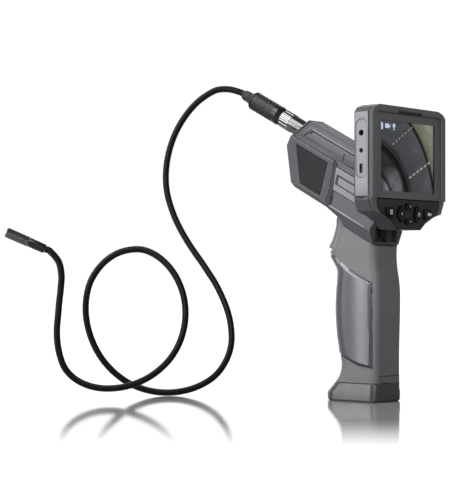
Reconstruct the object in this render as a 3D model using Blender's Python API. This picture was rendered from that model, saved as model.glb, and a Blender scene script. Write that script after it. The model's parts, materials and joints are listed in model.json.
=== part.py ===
"""Inspection camera: pistol-grip handle, lift-off monitor and gooseneck probe.

All numbers are millimetres in a working frame centred on the grip, with +Z up,
the monitor facing -Y and the probe leaving towards +Y.  world() turns them into
metres with the origin at the centre of the footprint.
"""
import math

import bmesh
import bpy
from mathutils import Vector

MM = 0.001
GAP = 0.3                      # clearance between touching pieces

# Barrel: a faceted case tilted up towards the probe, built about the socket axis
TILT = math.radians(28.0)
AXIS_Y, AXIS_Z = 23.0, 193.8   # a point on the socket axis
BARREL_HALF = 21.8
BARREL_TOP = 11.8              # top facet above the socket axis
BARREL_LOW = -45.0             # lower joint with the handle
REAR_Y = -21.5
WALL = 2.3
COWL_HALF = 24.3
COWL_FRONT = 39.0

# Grip and foot
GRIP_BASE = 14.8
GRIP_HALF = 17.5
PAD_DEPTH = 1.5
CELL_R, CELL_LEN = 7.15, 50.5

# Monitor
MON_HALF = 48.9
MON_TOP, MON_BOTTOM = 226.5, 133.0
MON_BACK, MON_SPLIT, MON_FACE, MON_RIM = -22.5, -36.0, -38.4, -40.0
BUTTON_FACE = -40.2
SCREEN_W, SCREEN_H, SCREEN_Z = 71.4, 52.8, 188.6

# Connector and probe
NUT_R, SLEEVE_R, BOOT_R = 7.5, 7.75, 4.2
SLEEVE_START, SLEEVE_END, BOOT_END = 69.8, 105.2, 118.0
CORD_R = 2.8
HEAD_R = 4.0

# Row origin in the working frame: the middle of the footprint without the free cord
FRONT_END = AXIS_Y + (SLEEVE_END - 0.4) * math.cos(TILT) + SLEEVE_R * math.sin(TILT)
FRAME_Y = (FRONT_END + BUTTON_FACE) / 2

# Free cord: hand-chosen points of the route, boot to camera head
CORD_POINTS = [
    (-3.2, 139.4, 254.0), (-9.6, 151.6, 253.2), (-18.3, 166.8, 241.4),
    (-26.7, 178.6, 221.1), (-32.0, 184.6, 197.1), (-33.8, 184.4, 172.0), (-31.5, 177.4, 147.8),
    (-26.8, 166.1, 125.8), (-21.5, 152.8, 106.1), (-17.4, 139.6, 85.5), (-16.3, 129.0, 61.9),
    (-20.7, 124.4, 37.9), (-32.8, 128.8, 17.2), (-50.7, 140.3, 5.6), (-70.9, 155.3, 3.0),
    (-89.9, 170.6, 9.8), (-104.7, 183.5, 25.3), (-114.1, 192.0, 46.7), (-118.3, 194.5, 71.8),
    (-115.8, 189.4, 96.1), (-105.6, 175.5, 114.3), (-91.5, 156.9, 118.8), (-80.4, 140.0, 106.8),
    (-74.7, 128.6, 85.1), (-75.4, 125.3, 60.0), (-83.2, 129.7, 36.3), (-98.4, 139.6, 18.8),
    (-117.9, 153.5, 9.7), (-137.0, 169.3, 10.7), (-151.2, 182.0, 23.1), (-157.1, 186.4, 46.7),
    (-157.0, 184.8, 72.3), (-155.9, 182.8, 96.7), (-157.6, 184.6, 109.4), (-164.3, 192.1, 118.6),
]
HEAD_TIP = (-184.3, 215.0, 131.9)


def world(x, y, z):
    return Vector((x * MM, (y - FRAME_Y) * MM, z * MM))


def barrel(x, t, n):
    """A point given along (t) and above (n) the tilted socket axis."""
    return (x, AXIS_Y + t * math.cos(TILT) - n * math.sin(TILT),
            AXIS_Z + t * math.sin(TILT) + n * math.cos(TILT))


PIVOT_Y, PIVOT_Z = 17.5, 153.2             # trigger pivot
PIVOTS = {"trigger": (0, PIVOT_Y, PIVOT_Z), "coupling_nut": barrel(0, 50.0, 0)}

# ---------------------------------------------------------------- scene helpers
for old in list(bpy.data.objects):
    bpy.data.objects.remove(old, do_unlink=True)


def make_material(name, colour, metallic=0.0, rough=0.5, alpha=1.0, glow=0.0):
    mat = bpy.data.materials.new(name)
    mat.use_nodes = True
    shader = mat.node_tree.nodes["Principled BSDF"]
    shader.inputs["Base Color"].default_value = (*colour, 1.0)
    shader.inputs["Metallic"].default_value = metallic
    shader.inputs["Roughness"].default_value = rough
    shader.inputs["Alpha"].default_value = alpha
    if glow:
        shader.inputs["Emission Color"].default_value = (*colour, 1.0)
        shader.inputs["Emission Strength"].default_value = glow
    return mat


def add(name, verts, faces, look=None):
    """A mesh object from working-frame points; look makes it a part, else a cutter.

    The origin is the middle of the solid, or the joint's axis for a piece in PIVOTS.
    """
    mesh = bpy.data.meshes.new(name)
    points = [world(*v) for v in verts]
    low = Vector([min(p[i] for p in points) for i in range(3)])
    high = Vector([max(p[i] for p in points) for i in range(3)])
    origin = world(*PIVOTS[name]) if name in PIVOTS else (low + high) / 2
    mesh.from_pydata([p - origin for p in points], [], faces)
    bm = bmesh.new()
    bm.from_mesh(mesh)
    bmesh.ops.recalc_face_normals(bm, faces=bm.faces)
    bm.to_mesh(mesh)
    bm.free()
    ob = bpy.data.objects.new(name, mesh)
    ob.location = origin
    bpy.context.scene.collection.objects.link(ob)
    if look:
        ob.data.materials.append(make_material(name, *look))
        mesh.shade_smooth()
        mesh.set_sharp_from_angle(angle=math.radians(32))
    else:
        ob.hide_render = True
        ob.display_type = "WIRE"
    return ob


def loft(name, rings, look=None):
    """A closed skin through rings of equal count."""
    count = len(rings[0])
    verts = [p for ring in rings for p in ring]
    faces = []
    for i in range(len(rings) - 1):
        for j in range(count):
            k = (j + 1) % count
            faces.append((i * count + j, i * count + k, (i + 1) * count + k, (i + 1) * count + j))
    faces.append(tuple(range(count))[::-1])
    faces.append(tuple((len(rings) - 1) * count + j for j in range(count)))
    return add(name, verts, faces, look)


def slab(name, outline, low, high, place, look=None):
    """An outline extruded between low and high; place(a, b, c) gives the point."""
    return loft(name, [[place(a, b, c) for a, b in outline] for c in (low, high)], look)


def along_x(a, b, c):
    return (c, a, b)


def along_y(a, b, c):
    return (a, c, b)


def along_z(a, b, c):
    return (a, b, c)


def side_of_barrel(a, b, c):
    return barrel(c, a, b)


def box(name, x, y, z, look=None):
    corners = [(x[0], y[0]), (x[1], y[0]), (x[1], y[1]), (x[0], y[1])]
    return slab(name, corners, z[0], z[1], along_z, look)


def lathe(name, base, axis, profile, look=None, steps=32, bore=False):
    """Turn (distance, radius) pairs about an axis; bore closes the loop off the axis."""
    base, axis = Vector(base), Vector(axis).normalized()
    side = axis.orthogonal().normalized()
    up = axis.cross(side)
    verts, faces, rows = [], [], []
    for s, r in profile:
        if r < 1e-6:
            rows.append([len(verts)])
            verts.append(tuple(base + axis * s))
            continue
        row = []
        for j in range(steps):
            a = 2 * math.pi * j / steps
            row.append(len(verts))
            verts.append(tuple(base + axis * s + (side * math.cos(a) + up * math.sin(a)) * r))
        rows.append(row)
    pairs = list(zip(rows, rows[1:])) + ([(rows[-1], rows[0])] if bore else [])
    for one, two in pairs:
        for j in range(steps):
            k = (j + 1) % steps
            if len(one) == 1 and len(two) == 1:
                continue
            if len(one) == 1:
                faces.append((one[0], two[j], two[k]))
            elif len(two) == 1:
                faces.append((one[j], one[k], two[0]))
            else:
                faces.append((one[j], one[k], two[k], two[j]))
    return add(name, verts, faces, look)


def rod(name, start, end, radius, look=None, steps=24):
    start, end = Vector(start), Vector(end)
    long = (end - start).length
    return lathe(name, start, end - start, [(0, 0), (0, radius), (long, radius), (long, 0)], look, steps)


def shape(ob, cutter, how="DIFFERENCE"):
    """Add a boolean; flat triangles between two of them keep every solid closed."""
    if ob.modifiers:
        ob.modifiers.new("flat_faces", "TRIANGULATE")
    mod = ob.modifiers.new(cutter.name, "BOOLEAN")
    mod.operation = how
    mod.solver = "EXACT"
    mod.object = cutter
    return ob


def rounded(x0, x1, y0, y1, r_low, r_high, steps=5):
    """A rounded rectangle; r_low rounds the y0 corners and r_high the y1 corners."""
    points = []
    corners = [(x1 - r_low, y0 + r_low, r_low, -90), (x1 - r_high, y1 - r_high, r_high, 0),
               (x0 + r_high, y1 - r_high, r_high, 90), (x0 + r_low, y0 + r_low, r_low, 180)]
    for cx, cy, r, start in corners:
        for i in range(steps + 1):
            a = math.radians(start + 90.0 * i / steps)
            points.append((cx + r * math.cos(a), cy + r * math.sin(a)))
    return points


def circle(cx, cy, r, steps=24):
    return [(cx + r * math.cos(2 * math.pi * i / steps), cy + r * math.sin(2 * math.pi * i / steps))
            for i in range(steps)]


def mirrored(half):
    """Close a half outline (x >= 0, top to bottom) into a symmetric one."""
    return half + [(-x, z) for x, z in reversed(half)]


# Colours: base, metallic, roughness
BODY = ((0.135, 0.140, 0.150), 0.0, 0.45)
HANDLE = ((0.215, 0.220, 0.235), 0.0, 0.45)
PANEL = ((0.33, 0.335, 0.355), 0.0, 0.42)
DARK = ((0.060, 0.062, 0.068), 0.0, 0.5)
SOFT = ((0.20, 0.205, 0.215), 0.0, 0.65)
BLACK = ((0.015, 0.015, 0.016), 0.0, 0.45)
CHROME = ((0.80, 0.80, 0.80), 1.0, 0.12)
STEEL = ((0.55, 0.55, 0.56), 1.0, 0.3)
BOARD = ((0.02, 0.16, 0.06), 0.0, 0.5)
CELL = ((0.62, 0.60, 0.55), 1.0, 0.35)

# Half-space cutters that split every two-part shell on the middle plane
half_left = box("cut_half_left", (-90, -0.15), (-90, 150), (-20, 300))
half_right = box("cut_half_right", (0.15, 90), (-90, 150), (-20, 300))

# ---------------------------------------------------------------- barrel shells
def barrel_section(inset):
    b = BARREL_HALF - inset
    t = BARREL_TOP - inset
    k = 0.42 * inset
    return mirrored([(9.0 - k, t), (b, -1.2 - k), (b, -36.0 + k), (13.8 - inset, -52.0 + k)])


def barrel_profile(inset):
    """Side outline of the barrel case, in (t, n)."""
    i = inset
    return [(36.4 - i, 30), (36.2 - i, -11.5), (16.6 - i, -35.6 + i), (-18.4 - i, -35.6 + i),
            (-18.4 - i, -38.4 + i), (-32.0 - i, -40.8 + i), (-38.5 - i, BARREL_LOW + i),
            (-80, BARREL_LOW + i), (-80, 30)]


def barrel_solid(name, inset, look=None):
    rings = [[barrel(x, t, n) for x, n in barrel_section(inset)] for t in (-95.0, 60.0)]
    return loft(name, rings, look)


def seam(y):
    """Height of the seam between the handle and the barrel at a given y."""
    return AXIS_Z + (BARREL_LOW + (y - AXIS_Y) * math.sin(TILT)) / math.cos(TILT)


rear_clip = box("cut_rear", (-60, 60), (REAR_Y, 150), (60, 300))
inner_rear_clip = box("cut_inner_rear", (-60, 60), (REAR_Y + WALL, 150), (60, 300))
profile_outer = slab("cut_profile_outer", barrel_profile(0), -60, 60, side_of_barrel)
profile_inner = slab("cut_profile_inner", barrel_profile(WALL), -60, 60, side_of_barrel)
POCKET_X, POCKET_FLOOR, POCKET_TOP = 14.6, -11.5, 141.0
pocket_shell = box("cut_pocket_shell", (-60, 60), (-60, POCKET_FLOOR + 2.2), (60, POCKET_TOP + 2.2))
pocket = slab("cut_pocket", [(-30, seam(-30) + 2.4), (POCKET_FLOOR, seam(POCKET_FLOOR) + 2.4),
                             (POCKET_FLOOR, POCKET_TOP), (-30, POCKET_TOP)], -POCKET_X, POCKET_X, along_x)
collar = slab("cut_collar", [(-30, 110), (-16.4, 116), (-17.4, 134.0), (REAR_Y - 0.1, 138.2), (-30, 138.2)],
              -60, 60, along_x)
barrel_inner = barrel_solid("cut_barrel_inner", WALL)
shape(barrel_inner, profile_inner, "INTERSECT")
shape(barrel_inner, inner_rear_clip, "INTERSECT")
shape(barrel_inner, pocket_shell)
neck_opening = box("cut_neck_opening", (-14.2, 14.2), (-9.25, 9.2), (100, 150))
trigger_slot = slab("cut_trigger_slot", [(9.8, 117.8), (60, 117.8), (60, 141), (23.4, 147), (23.4, 158.6),
                                         (9.8, 158.6)], -7.4, 7.4, along_x)
latch_hole = box("cut_latch_hole", (-4.2, 4.2), (-13, -8), (127.6, 134.4))
socket_hole = rod("cut_socket_hole", barrel(0, 20, 0), barrel(0, 60, 0), 6.4)
panel_outline = [(-13.0, -6.0), (-17.0, -23.0), (-50.4, -23.0), (-40.6, -6.0)]


def screw_post(shell, sign, tag, y, z, outer):
    """A post inside a shell half, with the screw's bore and, on the right, its counterbore."""
    post = rod("cut_post_" + tag, (sign * 0.1, y, z), (sign * (outer - 1.2), y, z), 3.2, steps=16)
    shape(shell, post, "UNION")
    reach = outer + 5 if sign > 0 else 13.0
    shape(shell, rod("cut_bore_" + tag, (-sign * 1.0, y, z), (sign * reach, y, z), 1.6, steps=16))
    if sign > 0:
        shape(shell, rod("cut_sink_" + tag, (outer - 2.0, y, z), (outer + 5, y, z), 3.1, steps=20))


def screw(name, y, z, outer):
    """Round-headed case screw, driven in from the right side."""
    lathe(name, (outer - 0.3, y, z), (-1, 0, 0),
          [(0, 0), (0, 2.3), (0.4, 2.7), (1.4, 2.7), (1.4, 1.3), (outer + 10.0, 1.3), (outer + 11.0, 0.6),
           (outer + 11.0, 0)], STEEL, 16)


BARREL_SCREWS = ((7.6, 150.4), (-4.6, 147.6))
GRIP_SCREWS = ((3.0, 111.5), (-10.5, 101.0))

for side, half, sign in (("left", half_left, -1), ("right", half_right, 1)):
    shell = barrel_solid("barrel_shell_" + side, 0, BODY)
    shape(shell, profile_outer, "INTERSECT")
    shape(shell, rear_clip, "INTERSECT")
    shape(shell, barrel_inner)
    shape(shell, pocket)
    shape(shell, collar)
    shape(shell, neck_opening)
    shape(shell, trigger_slot)
    shape(shell, latch_hole)
    shape(shell, socket_hole)
    shape(shell, half, "INTERSECT")
    for i, (y, z) in enumerate(BARREL_SCREWS):
        screw_post(shell, sign, "barrel_%s_%d" % (side, i + 1), y, z, BARREL_HALF)
    seat = [(-12.6, -5.6), (-16.7, -23.4), (-51.2, -23.4), (-40.8, -5.6)]
    shape(shell, slab("cut_panel_seat_" + side, seat, sign * 20.7, sign * 40, side_of_barrel))
    groove = [barrel(sign * a, t, n) for t in (-46.0, 30.0)
              for a, n in ((12.6, 7.0), (18.6, 1.0), (20.6, 5.2), (16.8, 9.0))]
    shape(shell, loft("cut_groove_" + side, [groove[:4], groove[4:]]))
    # light side panel with a recessed slot
    panel = slab("side_panel_" + side, panel_outline, sign * 21.0, sign * 22.4, side_of_barrel, PANEL)
    shape(panel, slab("cut_panel_slot_" + side, [(-16.4, -10.6), (-18.0, -18.6), (-60, -18.6), (-60, -10.6)],
                      sign * 21.7, sign * 30, side_of_barrel))
    # label plate set into the cowl cheek
    slab("label_plate_" + side, [(29.6, -6.6), (11.6, -32.0), (-9.6, -32.0), (-4.8, -6.6)],
         sign * (COWL_HALF - 0.7), sign * (COWL_HALF - 0.2), side_of_barrel, DARK)

# ---------------------------------------------------------------- nose cowl
def cowl_section(half, top, low):
    return mirrored([(9.2, top), (half, top - (half - 9.2)), (half, low + 3.0), (half - 4.0, low)])


cowl = loft("nose_cowl", [[barrel(x, t, n) for x, n in cowl_section(COWL_HALF, BARREL_TOP, -38.4)]
                          for t in (-30.0, 60.0)], BODY)
shape(cowl, slab("cut_cowl_profile", [(COWL_FRONT, 30), (COWL_FRONT - 0.5, -11.5), (17.6, -40),
                                      (-18.0, -40), (-16.7, -24), (-10.0, -1.8), (36.7, -1.8), (36.7, 30)],
                 -60, 60, side_of_barrel), "INTERSECT")
cowl_hollow = loft("cut_cowl_hollow", [[barrel(x, t, n) for x, n in mirrored(
    [(22.1, 30), (22.1, -35.9)])] for t in (-60.0, 36.7)])
hollow_side = [(36.7, 31), (36.5, -12.0), (17.2, -37), (-70, -37), (-70, 31)]
shape(cowl_hollow, slab("cut_cowl_hollow_side", hollow_side, -50, 50, side_of_barrel), "INTERSECT")
shape(cowl, cowl_hollow)
shape(cowl, rod("cut_cowl_bore", barrel(0, 30, 0), barrel(0, 60, 0), 6.4))
for sign in (-1, 1):
    shape(cowl, slab("cut_label_seat_%d" % sign, [(30.2, -6.3), (11.8, -32.3), (-10.0, -32.3), (-5.0, -6.3)],
                     sign * (COWL_HALF - 1.0), sign * 40, side_of_barrel))

# ---------------------------------------------------------------- handle
GRIP_SECTIONS = [  # height, rear y, front y, half width
    (GRIP_BASE, -20.5, 24.6, 17.3), (19.0, -20.5, 21.4, 17.4), (25.0, -20.3, 19.0, 17.5),
    (31.0, -20.3, 18.9, 17.5), (40.0, -20.4, 20.6, 17.5), (53.0, -20.7, 22.8, 17.5),
    (71.0, -21.2, 24.1, 17.5), (86.0, -21.2, 23.6, 17.4), (95.0, -20.4, 22.8, 17.2),
    (102.6, -19.2, 22.9, 17.0), (109.0, -18.5, 26.6, 16.9), (115.0, -18.3, 30.2, 16.9),
    (119.0, -18.5, 28.6, 17.0), (126.0, -19.0, 24.6, 17.0), (134.0, -19.5, 22.0, 17.0),
    (150.0, -19.5, 20.5, 17.0),
]


def grip_rings(inset, low=None, high=None):
    rings = []
    for z, rear, front, half in GRIP_SECTIONS:
        ring = rounded(-half + inset, half - inset, rear + inset, front - inset,
                       6.0 - inset * 0.8, 12.0 - inset * 0.9)
        rings.append([(x, y, z) for x, y in ring])
    if low is not None:
        rings[0] = [(x, y, low) for x, y, z in rings[0]]
    if high is not None:
        rings[-1] = [(x, y, high) for x, y, z in rings[-1]]
    return rings


seam_y = 10.4
grip_side = slab("cut_grip_side", [(-40, 10), (40, 10), (40, 150), (19.5, seam(seam_y) + 9.6),
                                   (seam_y, seam(seam_y) - 0.3), (REAR_Y + 2, seam(REAR_Y + 2) - 0.35),
                                   (-40, seam(REAR_Y + 2) - 0.35)], -40, 40, along_x)
grip_inner = loft("cut_grip_inner", grip_rings(2.7, 0.0, 160.0))
pad_recess = loft("cut_pad_recess", grip_rings(-3.0))
shape(pad_recess, loft("cut_pad_core", grip_rings(PAD_DEPTH, 0.0, 160.0)))
PAD_OUTLINE = [(-16.4, 92.2), (5.8, 102.8), (12.2, 107.6), (19.0, 112.6), (24.0, 114.8), (40, 115.4),
               (40, 41.0), (12.0, 34.8), (-3.0, 28.6), (-16.4, 26.4)]
pad_window = slab("cut_pad_window", [(-16.7, 92.4), (5.65, 103.1), (12.0, 107.9), (18.85, 112.9),
                                     (23.9, 115.1), (40, 115.7), (40, 40.7), (12.1, 34.5), (-2.95, 28.3),
                                     (-16.7, 26.1)], -40, 40, along_x)
shape(pad_recess, pad_window, "INTERSECT")
cap_doorway = box("cut_cap_doorway", (-13.3, 13.3), (-40, -12), (10, 20.4))

for side, half, sign in (("left", half_left, -1), ("right", half_right, 1)):
    grip = loft("grip_shell_" + side, grip_rings(0), HANDLE)
    shape(grip, grip_side, "INTERSECT")
    shape(grip, grip_inner)
    shape(grip, pad_recess)
    shape(grip, trigger_slot)
    shape(grip, cap_doorway)
    shape(grip, half, "INTERSECT")
    for i, (y, z) in enumerate(GRIP_SCREWS):
        screw_post(grip, sign, "grip_%s_%d" % (side, i + 1), y, z, 16.9)
    # rail that the foot cap's flange slides on
    rail_x = sorted((sign * 12.4, sign * 15.6))
    shape(grip, box("cut_rail_" + side, rail_x, (-17.0, 12.0), (15.2, 17.4)), "UNION")

pad = loft("grip_pad", grip_rings(0), SOFT)
shape(pad, slab("cut_pad_outline", PAD_OUTLINE, -40, 40, along_x), "INTERSECT")
shape(pad, loft("cut_pad_inner", grip_rings(PAD_DEPTH - GAP, 0.0, 160.0)))

# ---------------------------------------------------------------- foot cap
foot_rings = []
for z, rear, front, half in ((0.0, -19.6, 30.2, 17.6), (1.0, -20.6, 31.2, 18.4), (6.8, -20.8, 31.2, 18.4),
                             (12.6, -20.6, 26.2, 17.4), (14.5, -20.5, 24.8, 17.3)):
    foot_rings.append([(x, y, z) for x, y in rounded(-half, half, rear, front, 6.5, 11.0)])
foot = loft("foot_cap", foot_rings, HANDLE)
rail_neck = box("cut_cap_neck", (-12.1, 12.1), (-17.4, 13.6), (10.0, 18.4))
shape(foot, rail_neck, "UNION")
shape(foot, box("cut_cap_flange", (-13.0, 13.0), (-20.3, 11.8), (17.7, 20.1)), "UNION")
shape(foot, box("cut_cap_rear", (-13.0, 13.0), (-20.3, -18.0), (12.0, 20.0)), "UNION")
shape(foot, box("cut_cap_hollow", (-10.5, 10.5), (-16.0, 10.4), (3.0, 30.0)))

# ---------------------------------------------------------------- batteries
CELL_BASE, CAGE_Y = 24.2, -1.7
cage_plate = rounded(-14.4, 14.4, CAGE_Y - 14.4, CAGE_Y + 14.4, 6, 7)
cage = slab("battery_cage", cage_plate, 21.6, 23.8, along_z, DARK)
shape(cage, slab("cut_cage_post", circle(0, CAGE_Y, 2.3), 22.6, 77.0, along_z), "UNION")
shape(cage, slab("cut_cage_top", cage_plate, 75.4, 77.6, along_z), "UNION")
for i, (sx, sy) in enumerate(((-1, -1), (1, -1), (-1, 1), (1, 1))):
    lathe("battery_cell_%d" % (i + 1), (sx * 7.22, CAGE_Y + sy * 7.22, CELL_BASE), (0, 0, 1),
          [(0, 0), (0, 6.2), (0.5, CELL_R), (48.4, CELL_R), (49.0, 6.4), (49.0, 2.7), (CELL_LEN, 2.6),
           (CELL_LEN, 0)], CELL, 24)

# ---------------------------------------------------------------- trigger group
trigger_side = [(24.6, 145.6), (26.0, 143.0), (26.2, 138.0), (27.8, 132.0), (30.2, 126.0), (33.2, 121.6),
                (32.8, 119.6), (29.6, 119.2), (26.4, 122.4), (22.4, 128.5), (19.2, 135.0), (16.6, 143.0),
                (14.4, 152.0), (15.6, 155.8), (18.6, 156.6), (20.8, 154.0), (21.6, 149.5)]
trigger = slab("trigger", trigger_side, -6.9, 6.9, along_x, HANDLE)
shape(trigger, rod("cut_trigger_bore", (-20, PIVOT_Y, PIVOT_Z), (20, PIVOT_Y, PIVOT_Z), 1.8, steps=16))
rod("trigger_pin", (-19.0, PIVOT_Y, PIVOT_Z), (19.0, PIVOT_Y, PIVOT_Z), 1.5, STEEL, 16)


def wire(name, points, radius, look, resolution=2):
    curve = bpy.data.curves.new(name, "CURVE")
    curve.dimensions = "3D"
    spline = curve.splines.new("POLY")
    spline.points.add(len(points) - 1)
    for slot, p in zip(spline.points, points):
        slot.co = (*world(*p), 1.0)
    curve.bevel_depth = radius * MM
    curve.bevel_resolution = resolution
    curve.use_fill_caps = True
    ob = bpy.data.objects.new(name, curve)
    bpy.context.scene.collection.objects.link(ob)
    curve.materials.append(make_material(name, *look))
    return ob


coil = []
for i in range(46):
    a = 2 * math.pi * i / 12
    coil.append((8.3 + 0.085 * i, PIVOT_Y + 2.7 * math.cos(a), PIVOT_Z + 2.7 * math.sin(a)))
wire("trigger_spring", coil, 0.35, STEEL, 1)
box("trigger_switch", (-5.0, 5.0), (1.0, 9.0), (131.0, 138.0), BLACK)

# ---------------------------------------------------------------- inside the barrel
slab("main_board", [(12.0, -8.0), (6.0, -27.4), (-30.0, -27.4), (-30.0, -8.0)], 11.0, 12.6,
     side_of_barrel, BOARD)
latch = loft("dock_latch", [
    [(-2.3, -20.2, 123.4), (2.3, -20.2, 123.4), (3.4, -9.6, 130.6), (-3.4, -9.6, 130.6)],
    [(-3.6, -20.2, 133.6), (3.6, -20.2, 133.6), (3.8, -9.6, 133.6), (-3.8, -9.6, 133.6)]], DARK)
shape(latch, box("cut_latch_flange", (-6.0, 6.0), (-8.9, -6.9), (128.6, 136.0)), "UNION")
shape(latch, box("cut_latch_stem", (-3.3, 3.3), (-12.0, -7.6), (130.0, 133.2)), "UNION")

# ---------------------------------------------------------------- connector
AXIS = Vector(barrel(0, 1, 0)) - Vector(barrel(0, 0, 0))
lathe("panel_socket", barrel(0, 0, 0), AXIS,
      [(22.0, 0), (22.0, 7.4), (33.8, 7.4), (33.8, 6.0), (57.2, 6.0), (57.2, 4.6), (50.0, 4.6), (50.0, 0)],
      CHROME, 32)
nut = lathe("socket_nut", barrel(0, 0, 0), AXIS, [(39.3, 6.3), (39.3, 8.5), (43.9, 8.5), (43.9, 6.3)],
            CHROME, 32, bore=True)
flats = loft("cut_nut_flats", [[barrel(x, t, n) for x, n in circle(0, 0, 8.7, 6)] for t in (38.0, 46.0)])
shape(nut, flats, "INTERSECT")
lathe("coupling_nut", barrel(0, 0, 0), AXIS,
      [(44.4, 6.3), (44.4, 7.0), (58.0, 7.0), (58.6, NUT_R), (68.8, NUT_R), (69.4, 7.0), (69.4, 5.2),
       (58.2, 5.2), (58.2, 6.3)], CHROME, 32, bore=True)
lathe("plug_core", barrel(0, 0, 0), AXIS,
      [(50.6, 0), (50.6, 4.2), (57.9, 4.2), (57.9, 4.8), (74.0, 4.8), (74.0, 0)], BLACK, 24)
lathe("plug_sleeve", barrel(0, 0, 0), AXIS,
      [(SLEEVE_START, 5.2), (SLEEVE_START, 6.9), (73.4, 7.2), (74.0, SLEEVE_R), (SLEEVE_END - 0.8, SLEEVE_R),
       (SLEEVE_END, 7.0), (SLEEVE_END, 3.6), (74.4, 3.6), (74.4, 5.2)], BLACK, 32, bore=True)
lathe("strain_relief", barrel(0, 0, 0), AXIS,
      [(98.0, 0), (98.0, 3.2), (SLEEVE_END + GAP, 3.2), (SLEEVE_END + GAP, BOOT_R + 0.5), (112.0, BOOT_R),
       (BOOT_END, 3.4), (BOOT_END, 0)], BLACK, 24)


def smooth_route(points, count):
    """Catmull-Rom through the chosen points, resampled to even steps."""
    fine = []
    ends = [tuple(2 * a - b for a, b in zip(points[0], points[1]))] + list(points)
    ends.append(tuple(2 * a - b for a, b in zip(points[-1], points[-2])))
    for i in range(1, len(ends) - 2):
        p0, p1, p2, p3 = (Vector(p) for p in ends[i - 1:i + 3])
        for k in range(12):
            u = k / 12
            fine.append(0.5 * (2 * p1 + (p2 - p0) * u + (2 * p0 - 5 * p1 + 4 * p2 - p3) * u * u
                               + (3 * p1 - p0 - 3 * p2 + p3) * u ** 3))
    fine.append(Vector(points[-1]))
    runs = [0.0]
    for a, b in zip(fine, fine[1:]):
        runs.append(runs[-1] + (b - a).length)
    out, j = [], 0
    for i in range(count):
        want = runs[-1] * i / (count - 1)
        while j < len(runs) - 2 and runs[j + 1] < want:
            j += 1
        u = (want - runs[j]) / max(runs[j + 1] - runs[j], 1e-9)
        out.append(tuple(fine[j].lerp(fine[j + 1], min(max(u, 0), 1))))
    return out


tip = Vector(HEAD_TIP)
root = Vector(CORD_POINTS[-1])
run = (tip - root).normalized()
span = (tip - root).length
chosen = [barrel(0, BOOT_END + 4.0, 0)] + CORD_POINTS[:-1] + [tuple(root - run * 4.0)]
route = [barrel(0, BOOT_END + GAP, 0)] + smooth_route(chosen, 78) + [tuple(root)]
wire("gooseneck", route, CORD_R, BLACK, 2)

# ---------------------------------------------------------------- camera head
lathe("head_ferrule", root, run,
      [(0.3, 0), (0.3, 3.0), (1.4, HEAD_R - 0.3), (14.0, HEAD_R - 0.3), (14.0, 0)], BLACK, 24)
lathe("camera_head", root, run,
      [(14.3, 0), (14.3, HEAD_R), (span, HEAD_R), (span, 3.3), (span - 1.6, 3.3), (span - 1.6, 0)], BLACK, 24)
lathe("led_ring", root, run, [(span - 1.3, 1.5), (span - 1.3, 3.0), (span - 0.9, 3.0), (span - 0.9, 1.5)],
      ((0.85, 0.85, 0.80), 0.0, 0.4), 24, bore=True)
lathe("lens_window", root, run, [(span - 1.3, 0), (span - 1.3, 1.2), (span - 0.5, 1.2), (span - 0.5, 0)],
      ((0.02, 0.02, 0.04), 0.0, 0.05), 24)

# ---------------------------------------------------------------- monitor
MON_OUTLINE = mirrored([(39.0, MON_TOP), (45.6, 224.4), (MON_HALF, 221.0), (MON_HALF, 154.5), (45.0, 146.0),
                        (34.6, 143.4), (23.2, 138.3), (16.0, MON_BOTTOM)])


def inset_outline(points, d):
    """Offset a convex-ish outline inwards by d."""
    out, count = [], len(points)
    for i in range(count):
        a, b, c = (Vector(points[(i + k) % count]) for k in (-1, 0, 1))
        e1, e2 = (b - a).normalized(), (c - b).normalized()
        n1, n2 = Vector((e1.y, -e1.x)), Vector((e2.y, -e2.x))
        m = (n1 + n2) / (1 + n1.dot(n2))
        out.append(tuple(b + m * d))
    return out


back = slab("monitor_back", MON_OUTLINE, MON_BACK, MON_SPLIT + GAP, along_y, BODY)
shape(back, slab("cut_monitor_tub", inset_outline(MON_OUTLINE, 2.2), MON_BACK - 2.2, -60, along_y))
shape(back, box("cut_rail_block", (-10.6, 10.6), (-28.6, -23.6), (146.0, 184.0)), "UNION")
shape(back, box("cut_rail_neck", (-4.3, 4.3), (-25.4, -20), (100, 180.4)))
shape(back, box("cut_rail_head", (-7.8, 7.8), (-26.8, -24.0), (100, 180.4)))
port_seat_outline = [(y, z) for y, z in rounded(-34.2, -24.2, 171.0, 215.2, 4.9, 4.9)]
port_recess = slab("cut_port_recess", port_seat_outline, -60, -47.7, along_x)
shape(back, port_recess)
shape(back, box("cut_port_window", (-50, -45), (-32.6, -25.6), (173.6, 209.0)))
ports = slab("port_plate", [(y, z) for y, z in rounded(-33.9, -24.5, 171.3, 214.9, 4.6, 4.6)], -48.8, -48.0,
             along_x, PANEL)
shape(ports, rod("cut_jack_a", (-60, -29.0, 204.8), (-40, -29.0, 204.8), 2.3))
shape(ports, rod("cut_jack_b", (-60, -29.0, 191.6), (-40, -29.0, 191.6), 1.8))
shape(ports, box("cut_usb", (-60, -40), (-30.6, -27.4), (174.8, 181.6)))
jack_a = rod("av_jack", (-47.6, -29.0, 204.8), (-39.0, -29.0, 204.8), 3.2, BLACK)
shape(jack_a, rod("cut_jack_a_bore", (-60, -29.0, 204.8), (-41, -29.0, 204.8), 1.8))
jack_b = rod("power_jack", (-47.6, -29.0, 191.6), (-39.0, -29.0, 191.6), 3.0, BLACK)
shape(jack_b, rod("cut_jack_b_bore", (-60, -29.0, 191.6), (-41, -29.0, 191.6), 1.3))
usb = box("usb_port", (-47.6, -39.0), (-31.0, -27.0), (174.4, 182.0), STEEL)
shape(usb, box("cut_usb_mouth", (-60, -41), (-30.4, -27.6), (175.0, 181.4)))

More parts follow.
